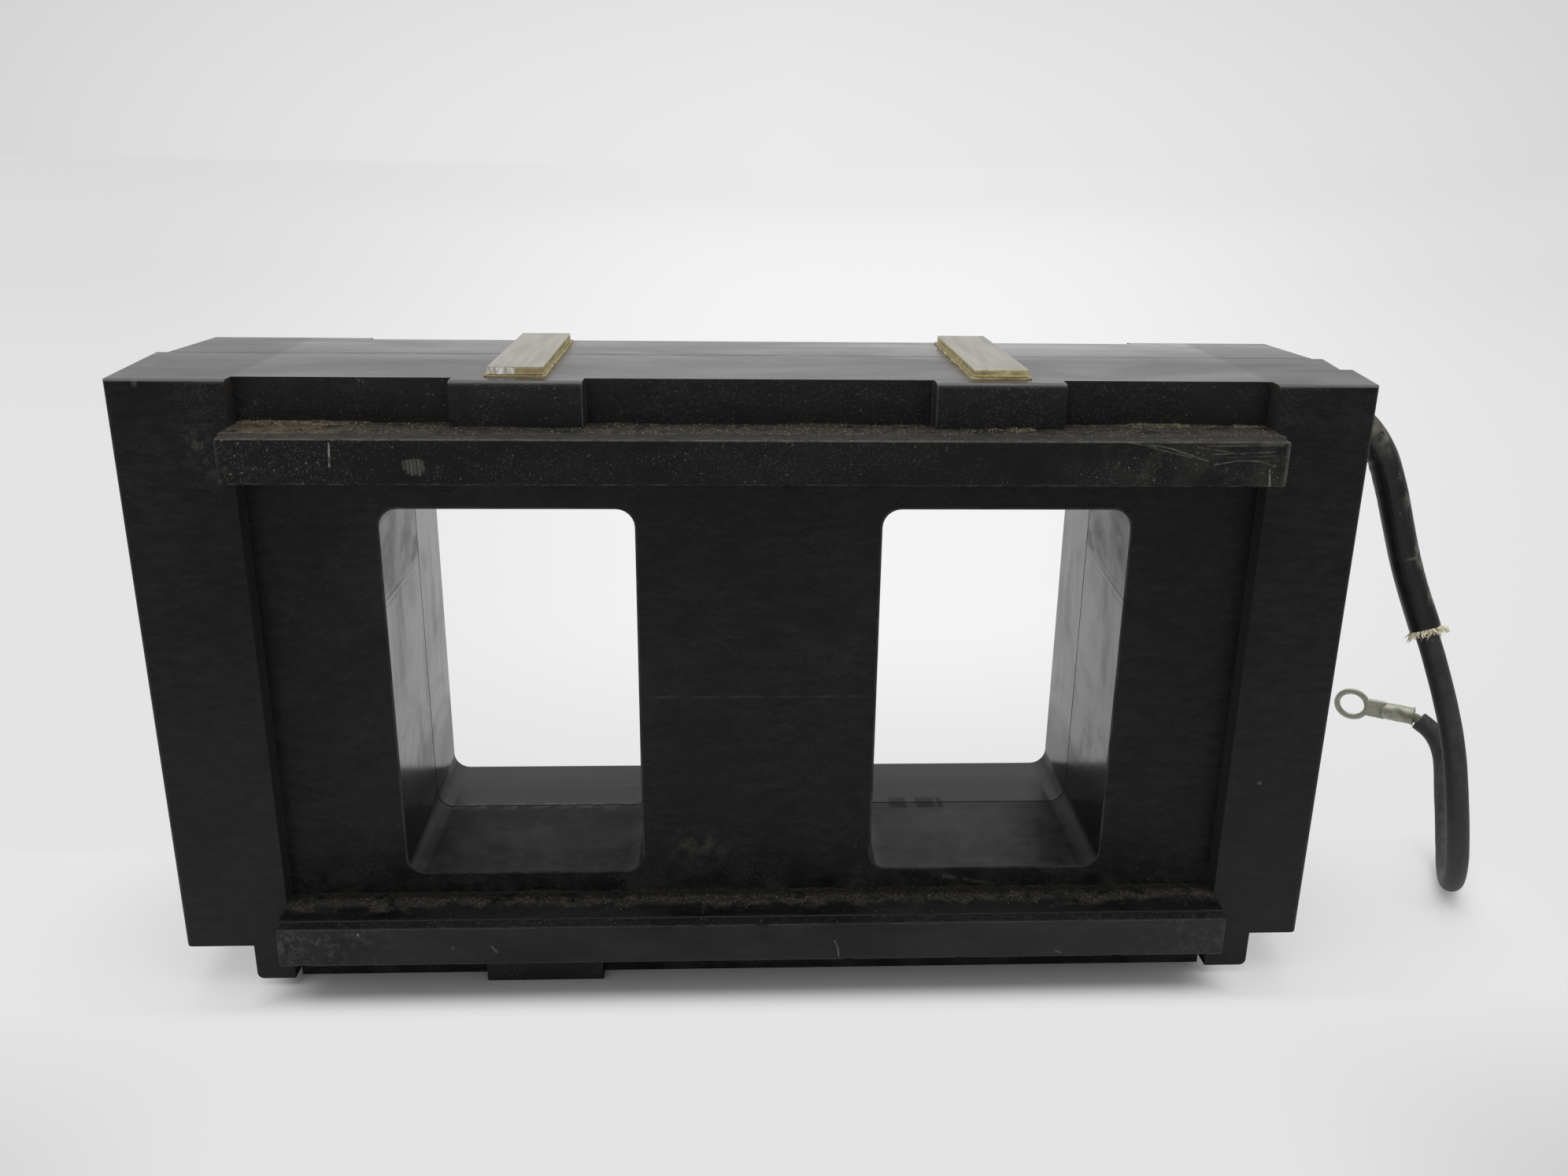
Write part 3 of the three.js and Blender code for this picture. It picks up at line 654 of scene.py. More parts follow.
@dataclass(frozen=True)
class Moulding(Finish):
    """Black moulded resin: satin in front, shiny on top and in the windows, dusty on its ledges."""

    block: Colour = (0.0054, 0.0055, 0.0064)
    recessed: Colour = (0.0058, 0.0054, 0.0054)
    # Grey of the film and the stains, also used for the painted light low on the end blocks.
    haze: Colour = (0.030, 0.028, 0.026)
    # The colour of worn places, also of the painted edge highlights.
    rubbed_and_highlight: Colour = (0.060, 0.057, 0.050)
    dust: Colour = (0.035, 0.032, 0.024)
    straw: Colour = (0.090, 0.070, 0.042)
    grain: Colour = (0.190, 0.172, 0.128)
    fringe: Colour = (0.10, 0.096, 0.085)
    residue: Colour = (0.20, 0.175, 0.115)
    chalk: Colour = (0.085, 0.082, 0.075)
    # Dark colour of the joint and the dashes, also the painted dark reflection low on the window walls.
    soot_and_painted_dark: Colour = (0.002, 0.002, 0.002)
    depth: float = 0.00016

    def paint(self, graph: Graph) -> None:
        """Paint by place: end blocks, panel, ledges, top and window walls.

        Args:
            graph: The graph to fill.
        """
        marks = MouldingMarks(graph)
        base = self._behind(marks, self._front(marks))
        rough, relief, shine = self._roughness(marks), self._relief(marks), self._shine(marks)
        graph.surface(base, rough, relief, self.depth, IOR=1.28, Coat_Weight=shine, Coat_Roughness=0.2)

    def _front(self, marks: MouldingMarks) -> Signal:
        """Colour the moulding with its film and the painted light in it, its worn places and painted edge
        highlights, its specks, and the dust on its ledges.

        Args:
            marks: The regions and marks.

        Returns:
            The colour.
        """
        graph, lower = marks.graph, marks.lower
        base = graph.mix(marks.sunk, self.block, self.recessed)
        grained = marks.drawn.rise(0.3, 0.7, 0.55, 1.5)
        base = graph.shade(base, marks.mottle.rise(0.3, 0.7, 0.75, 1.3) * grained)
        # Film, with painted light low on the end blocks.
        base = graph.mix(marks.film.least(0.9), base, self.haze)
        # Worn places, with painted edge highlights on the window rims and the ribs' edges.
        base = graph.mix(marks.wear_and_edge_highlight.least(1.0), base, self.rubbed_and_highlight)
        base = graph.mix(marks.specks, base, self.grain)
        thin, thick = graph.shade(self.dust, 0.6), graph.shade(self.dust, 1.6)
        dirt = graph.mix(marks.fine.rise(0.35, 0.75), thin, thick)
        dirt = graph.mix(marks.x.fall(-0.084, -0.070) * (1 - lower) * 0.45, dirt, self.straw)
        dirt = graph.mix(graph.grains(1700, 0.38, 0.24) * (0.9 - 0.35 * lower), dirt, self.grain)
        return graph.mix(marks.cover, base, dirt)

    def _behind(self, marks: MouldingMarks, base: Signal) -> Signal:
        """Lay the marks of the top, the window walls and the sills over the colour, and a painted dark
        reflection low on the window walls.

        Args:
            marks: The regions and marks.
            base: The colour so far.

        Returns:
            The colour.
        """
        graph, blotches = marks.graph, marks.blotches
        base = graph.mix(marks.fringe * 0.5, base, self.fringe)
        base = graph.mix(marks.halo * 0.6, base, self.residue)
        base = graph.mix(marks.joint * 0.8, base, self.soot_and_painted_dark)
        base = graph.mix(marks.wall * marks.stains.rise(0.5, 0.8) * 0.35, base, self.haze)
        base = graph.mix(marks.sill * blotches * 0.6, base, self.haze)
        base = graph.mix(marks.chalked * 0.8, base, self.chalk)
        base = graph.mix(marks.dashes, base, self.soot_and_painted_dark)
        # Painted dark reflection low on the window walls.
        return graph.mix(marks.painted_dark_low_wall * (0.3 + 0.5 * blotches), base, self.soot_and_painted_dark)

    @staticmethod
    def _roughness(marks: MouldingMarks) -> Signal:
        """Work out the roughness, lowest in the windows.

        Args:
            marks: The regions and marks.

        Returns:
            The roughness.
        """
        rough = 0.46 + 0.14 * marks.mottle.rise(0.3, 0.7)
        rough = rough + marks.crown * (marks.streaks.rise(0.3, 0.75, 0.34, 0.46) - rough)
        wall = marks.stains.rise(0.35, 0.75, 0.16, 0.32) - 0.05 * marks.rear
        rough = rough + marks.wall * (wall - rough)
        rough = rough + marks.sill * (0.22 - 0.12 * marks.rear)
        rough = rough + marks.side * marks.soiled * 0.15 + marks.rounded * 0.12
        rough = rough + marks.cover * 0.4 + marks.wear_and_edge_highlight * 0.1 + marks.halo * 0.2 + marks.fringe * 0.2
        return rough.least(0.95)

    @staticmethod
    def _shine(marks: MouldingMarks) -> Signal:
        """Work out the gloss of the top, the window walls and the sills.

        Args:
            marks: The regions and marks.

        Returns:
            The weight of the gloss.
        """
        x, y, graph, stains = marks.x, marks.y, marks.graph, marks.stains
        smears = graph.clouds(1.0, 4, 0.6, graph.stretched((22.0, 60.0, 22.0)), 1.0)
        top = marks.streaks.rise(0.3, 0.7, 0.70, 0.95) * smears.rise(0.36, 0.66, 1.0, 0.66)
        rearwards = 1.02 + y.rise(0.002, 0.030) * (0.40 + 0.45 * x.rise(0.0, 0.06))
        top = top * (rearwards - 0.14 * abs(y + 0.002).fall(0.0, 0.010))
        top = marks.crown * top * (1 - 0.30 * marks.outside)
        top = top * (1 - 0.6 * marks.halo) * (1 - 0.5 * marks.fringe) * 0.88
        sides = stains.rise(0.35, 0.75, 0.46, 0.26) * (1 - 0.62 * marks.soiled)
        # Less gloss where the dark reflection is painted low on the side walls.
        sides = sides * (1 - 0.85 * marks.painted_dark_low_wall)
        floors = marks.rear * 0.36 * stains.rise(0.3, 0.7, 1.0, 0.75) * (1 - 0.9 * marks.dashes)
        floors = floors * marks.blotches.rise(0.0, 1.0, 1.08, 0.72)
        hazy = x.rise(0.0, 0.01) * x.fall(0.058, 0.070) * 0.24
        hazy = 0.10 * marks.mottle.rise(0.42, 0.66) + hazy
        floors = floors + marks.fore * (1 - marks.dashes) * hazy
        return top + marks.wall * ((1 - marks.up) * sides + marks.up * floors)

    @staticmethod
    def _relief(marks: MouldingMarks) -> Signal:
        """Work out the fine relief, flattest on the window walls.

        Args:
            marks: The regions and marks.

        Returns:
            The height.
        """
        graph, wall, crown = marks.graph, marks.wall, marks.crown
        relief = marks.fine * (0.35 - 0.33 * wall)
        relief = relief + graph.clouds(420, 3, 0.6) * (0.65 - 0.63 * wall - 0.35 * crown)
        relief = relief + marks.cover * graph.clouds(900, 3, 0.7) * 1.5 + marks.streaks * crown * 0.12
        return relief + marks.drawn * marks.front * 0.5


@dataclass(frozen=True)
class Laminate(Finish):
    """A grey-black laminate bar with light edges, painted highlights that are also worn, and its own
    scratches.
    """

    bottom: float
    lines: tuple[Line, ...]
    body: Colour = (0.0045, 0.0044, 0.0047)
    # Edge colour: painted highlight, brighter where worn.
    edge: Colour = (0.085, 0.080, 0.068)
    deck: Colour = (0.036, 0.031, 0.022)
    grain: Colour = (0.19, 0.17, 0.125)
    scratched: Colour = (0.22, 0.215, 0.185)
    scuff: Colour = (0.12, 0.118, 0.105)
    stain: Colour = (0.026, 0.024, 0.019)
    haze: Colour = (0.022, 0.022, 0.023)
    soil: float = 1.0
    bright: float = 0.75

    def paint(self, graph: Graph) -> None:
        """Paint the bar's face, its edges, worn and lit by painted highlights, grains and scratches, and its
        top, dusty on the upper bar and in painted shade on the lower.

        Args:
            graph: The graph to fill.
        """
        x, y, z = graph.axes
        _, facing_y, facing_z = graph.facing
        front = (-facing_y).rise(0.5, 0.9)
        up = facing_z.rise(0.5, 0.9)
        mottle = graph.clouds(110, 5, 0.65, graph.stretched((0.4, 1.0, 1.0)))
        fine = graph.clouds(1700, 2, 0.6)
        worn = graph.clouds(260, 5, 0.75)
        base = graph.shade(self.body, mottle.rise(0.3, 0.7, 0.7, 1.5))
        base = graph.shade(base, x.rise(0.02, 0.07, 1.0, 1.2))
        patch = x.rise(0.052, 0.072) * graph.clouds(150, 5, 0.7).rise(0.42, 0.62) * self.soil
        base = graph.mix(patch * 0.42, base, self.stain)
        scuffed = abs(x - PLAN.middle).rise(0.070, 0.095)
        scuffed = scuffed * graph.clouds(620, 5, 0.8).rise(0.48, 0.66) * front
        base = graph.mix(scuffed * (0.38 - 0.30 * self.soil), base, self.scuff)
        base = graph.mix(x.rise(0.03, 0.08) * (1 - self.soil) * 0.5, base, self.haze)

        top = self.bottom + PLAN.bar_height
        # Painted edge highlight along the top edge, brighter where worn; the ends get a weaker one.
        upper_rim_highlight_and_wear = (top - z).fall(0.0002, 0.0005) * (0.35 + 0.65 * worn.rise(0.36, 0.56))
        lower_rim = (z - self.bottom).fall(0.0002, 0.0006) * worn.rise(0.44, 0.60) * 0.8
        ends = (x - PLAN.bar[0]).fall(0.0003, 0.0009) * 0.6 + (PLAN.bar[1] - x).fall(0.0004, 0.0012)
        rim = (upper_rim_highlight_and_wear + lower_rim) * (front + up * y.fall(-0.0343, -0.0339)).least(1.0)
        rim = (rim + ends * (0.3 + 0.7 * worn.rise(0.42, 0.6))).least(1.0)
        base = graph.mix(rim * self.bright, base, self.edge)

        broken = worn.rise(0.38, 0.58, 0.25, 1.0)
        marks = functools.reduce(Signal.most, [
            graph.scratch(x, z, start, end, width) * strength * broken
            for start, end, width, strength in self.lines
        ])
        base = graph.mix(front * marks, base, self.scratched)

        dense = mottle.rise(0.34, 0.56) * (x.fall(-0.06, -0.02) + x.rise(0.05, 0.07)).most(0.55) * self.soil
        grit = graph.grains(1000, 0.24, 0.20) * 0.5 + graph.grains(3000, 0.36, 0.42) * 0.42
        base = graph.mix(grit * dense, base, self.grain)
        # The top in the deck colour: dust on the upper bar, painted shade on the lower bar.
        soot_and_painted_dark = up * (0.30 + 0.60 * graph.clouds(500, 4, 0.7).rise(0.35, 0.6)) * y.rise(-0.0343, -0.0337)
        base = graph.mix(soot_and_painted_dark * 0.9, base, self.deck)
        base = graph.mix(soot_and_painted_dark * grit * 1.2, base, self.grain)
        rough = 0.46 + 0.16 * mottle + marks * 0.1 + soot_and_painted_dark * 0.2
        relief = fine * 0.4 + graph.clouds(500, 3, 0.6) * 0.6 - marks * 0.6
        graph.surface(base, rough, relief, 0.00012, IOR=1.27)


@dataclass(frozen=True)
class ShimBoard(Finish):
    """Grey-beige board with yellow cut edges, one of them torn white and brown in front."""

    top: float = 0.1356
    front: float = -0.01855
    tear: Point2 | None = None
    face: Blend = ((0.235, 0.225, 0.200), (0.305, 0.292, 0.262))
    fleck: Colour = (0.10, 0.09, 0.07)
    cut: Blend = ((0.44, 0.38, 0.18), (0.60, 0.54, 0.32))
    core: Colour = (0.16, 0.14, 0.08)
    white: Blend = ((0.30, 0.26, 0.19), (0.90, 0.89, 0.86))
    brown: Blend = ((0.18, 0.125, 0.065), (0.38, 0.30, 0.18))
    rim: Colour = (0.14, 0.09, 0.05)

    def paint(self, graph: Graph) -> None:
        """Paint the face, the layered edges and the torn front.

        Args:
            graph: The graph to fill.
        """
        x, y, z = graph.axes
        up = graph.facing[2].rise(0.5, 0.9)
        cloth = graph.clouds(900, 3, 0.6)
        streaks = graph.clouds(1.0, 4, 0.6, graph.stretched((500.0, 40.0, 40.0)))
        face = graph.mix(streaks.rise(0.3, 0.7), *self.face)
        face = graph.mix(graph.grains(700, 0.3, 0.12) * 0.5, face, self.fleck)
        under = self.top - z
        cut = graph.mix(cloth.rise(0.35, 0.65), *self.cut)
        core = under.lane(0.0008, 0.00025, 0.0002) * graph.clouds(300, 3).rise(0.3, 0.6)
        cut = graph.mix(core * 0.7, cut, self.core)
        rough = 0.42 + 0.2 * cloth
        if self.tear:
            ahead = y.fall(self.front + 0.0004, self.front + 0.0007)
            fibres = graph.clouds(1.0, 4, 0.75, graph.stretched((1400.0, 900.0, 300.0)))
            ragged = x + 0.0022 * (fibres - 0.5)
            white = ahead * ragged.fall(self.tear[0], self.tear[0] + 0.0006)
            brown = ahead * ragged.rise(self.tear[1], self.tear[1] + 0.0008)
            torn = graph.mix(fibres.rise(0.3, 0.62), *self.white)
            cut = graph.mix(brown * 0.55, cut, graph.mix(fibres, *self.brown))
            cut = graph.mix(white, cut, torn)
            cut = graph.mix(ahead * under.fall(0.0001, 0.0003) * 0.7, cut, self.rim)
            rough = rough + white * 0.3
        graph.surface(graph.mix(up, cut, face), rough, cloth * 0.5 + streaks * 0.5, 0.00006, IOR=1.4)


@dataclass(frozen=True)
class BondFilm(Finish):
    """Set yellowish adhesive."""

    film: Blend = ((0.17, 0.125, 0.05), (0.42, 0.35, 0.18))
    fleck: Colour = (0.03, 0.026, 0.02)

    def paint(self, graph: Graph) -> None:
        """Paint an uneven film, dusty where it is thin.

        Args:
            graph: The graph to fill.
        """
        cloud = graph.clouds(350, 4, 0.6)
        base = graph.mix(cloud.rise(0.3, 0.7), *self.film)
        base = graph.mix(graph.grains(1200, 0.35, 0.2) * 0.6, base, self.fleck)
        graph.surface(base, 0.3 + 0.35 * cloud, graph.clouds(700, 3), 0.0001, IOR=1.45)


@dataclass(frozen=True)
class Phenolic(Finish):
    """Brown moulded bobbin resin."""

    resin: Blend = ((0.11, 0.065, 0.028), (0.24, 0.155, 0.075))

    def paint(self, graph: Graph) -> None:
        """Paint a flecked brown.

        Args:
            graph: The graph to fill.
        """
        fleck = graph.clouds(420, 4, 0.65)
        base = graph.mix(fleck.rise(0.35, 0.7), *self.resin)
        graph.surface(base, 0.5 + 0.2 * fleck, fleck, 0.00008)


@dataclass(frozen=True)
class EnamelledWire(Finish):
    """Enamelled copper, wound in turns of a given pitch, or one plain wire with a pitch of 0."""

    pitch: float = 0.0
    copper: Blend = ((0.30, 0.095, 0.03), (0.48, 0.19, 0.075))
    painted_groove_shade: Colour = (0.05, 0.015, 0.008)

    def paint(self, graph: Graph) -> None:
        """Paint turns that lie side by side from front to back, with painted shade between them.

        Args:
            graph: The graph to fill.
        """
        cloud = graph.clouds(260, 4, 0.6)
        base = graph.mix(cloud.rise(0.3, 0.7), *self.copper)
        relief = cloud * 0.2
        if self.pitch:
            turn = (graph.axes[1] * (math.tau / self.pitch)).sine()
            # Painted shade in the valleys between turns.
            base = graph.mix(turn.fall(-1.0, -0.55), base, self.painted_groove_shade)
            relief = turn.rise(-1.0, 0.6) + relief
        graph.surface(base, 0.26 + 0.2 * cloud, relief, 0.0005 if self.pitch else 0.00005, Metallic=0.85)


@dataclass(frozen=True)
class TapeWrap(Finish):
    """Woven insulating tape round a winding."""

    thread: float = 0.0006
    lap: float = 0.014
    cloth: Blend = ((0.62, 0.55, 0.36), (0.42, 0.35, 0.2))
    shadow: Colour = (0.22, 0.17, 0.09)

    def paint(self, graph: Graph) -> None:
        """Paint warp and weft and the tape's overlaps.

        Args:
            graph: The graph to fill.
        """
        x, y, z = graph.axes
        warp = (y * (math.tau / self.thread)).sine()
        weft = ((x + z) * (math.tau / self.thread)).sine()
        weave = warp * weft
        lap = (((y + 0.15 * (x + z)) * (math.tau / self.lap)).sine()).rise(0.9, 1.0)
        soil = graph.clouds(90, 4, 0.6)
        base = graph.mix(soil.rise(0.35, 0.75), *self.cloth)
        base = graph.mix(weave.fall(-1.0, -0.2) * 0.5 + lap * 0.4, base, self.shadow)
        graph.surface(base, 0.85, weave * 0.3 + lap * 1.2, 0.00015)


@dataclass(frozen=True)
class CastCompound(Finish):
    """Dark cast filling with light filler grains."""

    mass: Blend = ((0.012, 0.010, 0.009), (0.030, 0.024, 0.020))
    filler: Colour = (0.14, 0.12, 0.10)

    def paint(self, graph: Graph) -> None:
        """Paint a dark grainy mass.

        Args:
            graph: The graph to fill.
        """
        cloud = graph.clouds(160, 5, 0.6)
        base = graph.mix(cloud, *self.mass)
        base = graph.mix(graph.grains(900, 0.3, 0.3) * 0.5, base, self.filler)
        graph.surface(base, 0.45 + 0.25 * cloud, cloud, 0.0002)


@dataclass(frozen=True)
class LeadRubber(Finish):
    """Dark smooth insulation over a fine lay, dusty above and flecked, with painted braid highlights, read
    from the piece's own lay.
    """

    body: Colour = (0.0210, 0.0215, 0.0215)
    fleck: Colour = (0.20, 0.20, 0.165)
    dust: Colour = (0.175, 0.165, 0.130)
    carriers: int = 9
    pick: float = 0.0021
    depth: float = 0.00008
    gloss: float = 0.46
    coat: float = 0.0
    # Light streaks on the outer side: dust and painted reflection.
    grime_and_sheen: float = 0.0
    soiled_to: float = 0.0

    def paint(self, graph: Graph) -> None:
        """Paint a faint lay, scattered flecks, short painted braid highlights, dust and a painted reflection
        on the outer side, and a soiled upper end.

        Args:
            graph: The graph to fill.
        """
        lay = graph.node("ShaderNodeAttribute", {"attribute_name": "lay"}, output="Vector")
        around, along, _ = graph.split(lay)
        turn = around * (math.tau * self.carriers)
        run = along * (math.tau / self.pick)
        yarns = (turn + run).sine() * (turn - run).sine()
        cloud = graph.clouds(320, 4, 0.65)
        base = graph.shade(self.body, cloud.rise(0.3, 0.7, 0.85, 1.20))
        # Short light marks: painted braid highlights.
        braid_highlight_ticks = graph.clouds(1.0, 3, 0.7, graph.stretched((260.0, 260.0, 1500.0))).rise(0.70, 0.76)
        flecks = graph.grains(1100, 0.26, 0.10) * cloud.rise(0.4, 0.6)
        base = graph.mix(braid_highlight_ticks * 0.35 + flecks * 0.5, base, self.fleck)
        above = graph.facing[2].rise(-0.1, 0.8)
        dust = above * cloud.rise(0.35, 0.65) * 0.14
        if self.grime_and_sheen:
            drawn = graph.clouds(1.0, 4, 0.7, graph.stretched((420.0, 420.0, 75.0)))
            outer_side = graph.facing[0].rise(0.0, 0.6)
            # Light streaks on the outer side: dust, and a painted reflection along that edge.
            dust = dust * 0.3 + drawn.rise(0.50, 0.60) * outer_side * self.grime_and_sheen
            soiled = along.fall(self.soiled_to * 0.6, self.soiled_to) * cloud.rise(0.32, 0.55)
            dust = dust + soiled * graph.facing[2].rise(-0.4, 0.3) * graph.facing[0].fall(0.1, 0.9) * 0.7
            tick = along.lane(0.0515, 0.00015, 0.0003) * graph.facing[0].lane(-0.03, 0.35, 0.15)
            dust = dust + tick * cloud.rise(0.35, 0.55) * 0.35
        base = graph.mix(dust.least(0.9), base, self.dust)
        rough = self.gloss + 0.22 * cloud + dust * 0.3
        relief = yarns * 0.12 + cloud * 0.8
        graph.surface(base, rough, relief, self.depth, IOR=1.42, Coat_Weight=self.coat, Coat_Roughness=0.16)


@dataclass(frozen=True)
class BushRubber(Finish):
    """Plain moulded rubber."""

    rubber: Blend = ((0.010, 0.010, 0.011), (0.05, 0.048, 0.042))

    def paint(self, graph: Graph) -> None:
        """Paint matt black with a bloom.

        Args:
            graph: The graph to fill.
        """
        bloom = graph.clouds(300, 4, 0.6)
        base = graph.mix(bloom.rise(0.4, 0.8) * 0.4, *self.rubber)
        graph.surface(base, 0.6 + 0.25 * bloom, graph.clouds(1200, 2), 0.00005, IOR=1.4)


@dataclass(frozen=True)
class GlassYarn(Finish):
    """Frayed yellowish yarn, each strand a little different."""

    yarn: Blend = ((0.80, 0.77, 0.62), (0.50, 0.44, 0.26))
    soil: Colour = (0.16, 0.13, 0.08)

    def paint(self, graph: Graph) -> None:
        """Paint strands from cream to straw, soiled at the root.

        Args:
            graph: The graph to fill.
        """
        chance = graph.node("ShaderNodeNewGeometry", output="Random Per Island")
        cloud = graph.clouds(900, 3)
        base = graph.mix(chance, *self.yarn)
        base = graph.mix(cloud.rise(0.5, 0.75) * 0.5, base, self.soil)
        graph.surface(base, 0.85, cloud, 0.00005)


@dataclass(frozen=True)
class TinnedCopper(Finish):
    """Dull tinned metal with dark crevices."""

    tin: Blend = ((0.36, 0.36, 0.30), (0.22, 0.22, 0.17))
    crevice: Colour = (0.08, 0.07, 0.05)

    def paint(self, graph: Graph) -> None:
        """Paint an oxidised tin skin with handling marks.

        Args:
            graph: The graph to fill.
        """
        cloud = graph.clouds(420, 5, 0.65)
        tarnish = graph.clouds(150, 4, 0.6).rise(0.45, 0.7)
        base = graph.mix(tarnish, *self.tin)
        base = graph.mix(graph.grains(1600, 0.4, 0.12) * 0.7, base, self.crevice)
        rough = 0.44 + 0.22 * cloud
        graph.surface(base, rough, cloud, 0.00006, Metallic=0.8)


@dataclass(frozen=True)
class LedgeDust(Finish):
    """Settled tan dust and grit."""

    powder: Blend = ((0.014, 0.0125, 0.0095), (0.048, 0.042, 0.030))
    straw: Blend = ((0.045, 0.037, 0.023), (0.135, 0.115, 0.075))
    grain: Colour = (0.25, 0.22, 0.15)

    def paint(self, graph: Graph) -> None:
        """Paint powder, straw-coloured where it lies thickest, and darkened as painted shade on the lower
        ledge.

        Args:
            graph: The graph to fill.
        """
        x, _, z = graph.axes
        fine = graph.clouds(1600, 3, 0.7)
        base = graph.mix(fine.rise(0.35, 0.7), *self.powder)
        heaps = x.fall(-0.082, -0.072) + x.lane(0.0525, 0.0025, 0.0030) + x.lane(0.080, 0.005, 0.004)
        heaps = (heaps + x.rise(0.093, 0.097)) * z.rise(*PLAN.midway)
        straw = graph.mix(fine.rise(0.35, 0.65), *self.straw)
        base = graph.mix(heaps.least(1.0) * graph.clouds(350, 4, 0.7).rise(0.36, 0.56), base, straw)
        # Painted shade: the lower ledge's dust darker.
        base = graph.shade(base, z.rise(*PLAN.midway, 0.45, 1.0))
        grains = graph.grains(1700, 0.40, 0.24) * z.rise(*PLAN.midway, 0.1, 0.9)
        base = graph.mix(grains, base, self.grain)
        graph.surface(base, 0.9, fine, 0.0003, IOR=1.3)


@dataclass(frozen=True)
class Grit(Finish):
    """Single grains, each its own shade."""

    def paint(self, graph: Graph) -> None:
        """Paint grains from dark brown to pale straw.

        Args:
            graph: The graph to fill.
        """
        chance = graph.node("ShaderNodeNewGeometry", output="Random Per Island")
        stops = [(0.0, (0.030, 0.025, 0.018)), (0.5, (0.095, 0.082, 0.055)), (1.0, (0.36, 0.32, 0.23))]
        base = graph.node("ShaderNodeValToRGB", {"stops": stops}, {0: chance})
        base = graph.shade(base, graph.clouds(3000, 2).rise(0.3, 0.7, 0.75, 1.2))
        graph.surface(base, 0.8, graph.clouds(4000, 2), 0.00005)


# Shapes


def settle(made: bpy.types.Object) -> bpy.types.Object:
    """Put a new object in the scene, with normals that keep its broad faces flat.

    Args:
        made: The object.

    Returns:
        The same object.
    """
    weighing = made.modifiers.new("flat_faces", "WEIGHTED_NORMAL")
    weighing.keep_sharp = True
    weighing.weight = 100
    bpy.context.scene.collection.objects.link(made)
    return made


@dataclass
class Shape:
    """Vertices and faces in the making, with the lay of each face corner where it is known."""

    name: str

    def __post_init__(self) -> None:
        """Start empty."""
        self.points: list[Vector] = []
        self.faces: list[tuple[int, ...]] = []
        self.lays: list[list[Vector]] = []

    def ring(self, points: Sequence[Vector]) -> list[int]:
        """Add points.

        Args:
            points: The points in order.

        Returns:
            Their numbers.
        """
        first = len(self.points)
        self.points.extend(points)
        return list(range(first, first + len(points)))

    def face(self, corners: Sequence[int], lays: Sequence[Vector] | None = None) -> None:
        """Add a face, with a lay for each corner if it has one."""
        self.faces.append(tuple(corners))
        self.lays.append(list(lays) if lays else [Vector() for _ in corners])

    def bridge(self, first: Sequence[int], second: Sequence[int]) -> None:
        """Join two closed rings of equal length with quads.

        Args:
            first: The numbers of one ring's points.
            second: The numbers of the other's.
        """
        count = len(first)
        for index in range(count):
            after = (index + 1) % count
            self.face((first[index], first[after], second[after], second[index]))

    def loft(self, rings: Sequence[Sequence[Vector]], closed: bool = False) -> None:
        """Join rings in order.

        Args:
            rings: Rings of equal length.
            closed: Whether the last ring joins the first; otherwise both ends are capped.
        """
        numbers = [self.ring(ring) for ring in rings]
        for first, second in zip(numbers, numbers[1:]):
            self.bridge(first, second)
        if closed:
            self.bridge(numbers[-1], numbers[0])
        else:
            self.face(list(reversed(numbers[0])))
            self.face(numbers[-1])

    def sweep(
        self, spline: Spline, shares: Point2, rings: int, sides: int, radius: Measure,
    ) -> tuple[list[int], list[int]]:
        """Sweep a round section along a spline, with its lay: turns round it and metres along it.

        Args:
            spline: The centre line.
            shares: Where the sweep starts and ends, as shares of the length.
            rings: Rings along it.
            sides: Points round it.
            radius: The radius for a distance along, an angle and the turning towards it.

        Returns:
            The first ring and the last.
        """
        laid: list[tuple[list[int], float]] = []
        for index in range(rings + 1):
            share = shares[0] + (shares[1] - shares[0]) * index / rings
            place, way, side = spline.at(share)
            over = way.cross(side)
            inward = spline.bend(share)
            along = share * spline.length
            points = []
            for number in range(sides):
                angle = math.tau * number / sides
                out = side * math.cos(angle) + over * math.sin(angle)
                points.append(place + out * radius(along, angle, inward.dot(out)))
            laid.append((self.ring(points), along))
        for (first, low), (second, high) in zip(laid, laid[1:]):
            for number in range(sides):
                after = (number + 1) % sides
                a, b = number / sides, (number + 1) / sides
                self.face(
                    (first[number], first[after], second[after], second[number]),
                    (Vector((a, low, 0)), Vector((b, low, 0)), Vector((b, high, 0)), Vector((a, high, 0))),
                )
        return laid[0][0], laid[-1][0]

    def finished(self, finish: Finish, crease: float = 40.0) -> bpy.types.Object:
        """Make the object.

        Args:
            finish: Its finish.
            crease: The angle in degrees above which an edge stays sharp.

        Returns:
            The object, at the frame's origin.
        """
        mesh = bpy.data.meshes.new(self.name)
        mesh.from_pydata([tuple(point) for point in self.points], [], self.faces)
        mesh.update()
        lay = mesh.attributes.new("lay", "FLOAT_VECTOR", "CORNER")
        flat = [number for face in self.lays for corner in face for number in corner]
        lay.data.foreach_set("vector", flat)
        work = bmesh.new()
        work.from_mesh(mesh)
        bmesh.ops.recalc_face_normals(work, faces=work.faces)
        work.to_mesh(mesh)
        work.free()
        mesh.shade_smooth()
        mesh.set_sharp_from_angle(angle=math.radians(crease))
        mesh.materials.append(material_of(finish))
        return settle(bpy.data.objects.new(self.name, mesh))


def report(piece: bpy.types.Object, replaced: Sequence[str] = ()) -> None:
    """Set a piece on the body, hide the CAD nodes that it stands for and log it.

    Args:
        piece: The piece.
        replaced: CAD nodes that it stands for.
    """
    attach(piece, BODY)
    if replaced:
        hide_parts(*replaced)
    LOG.info("%s: %d points", piece.name, len(piece.data.vertices))


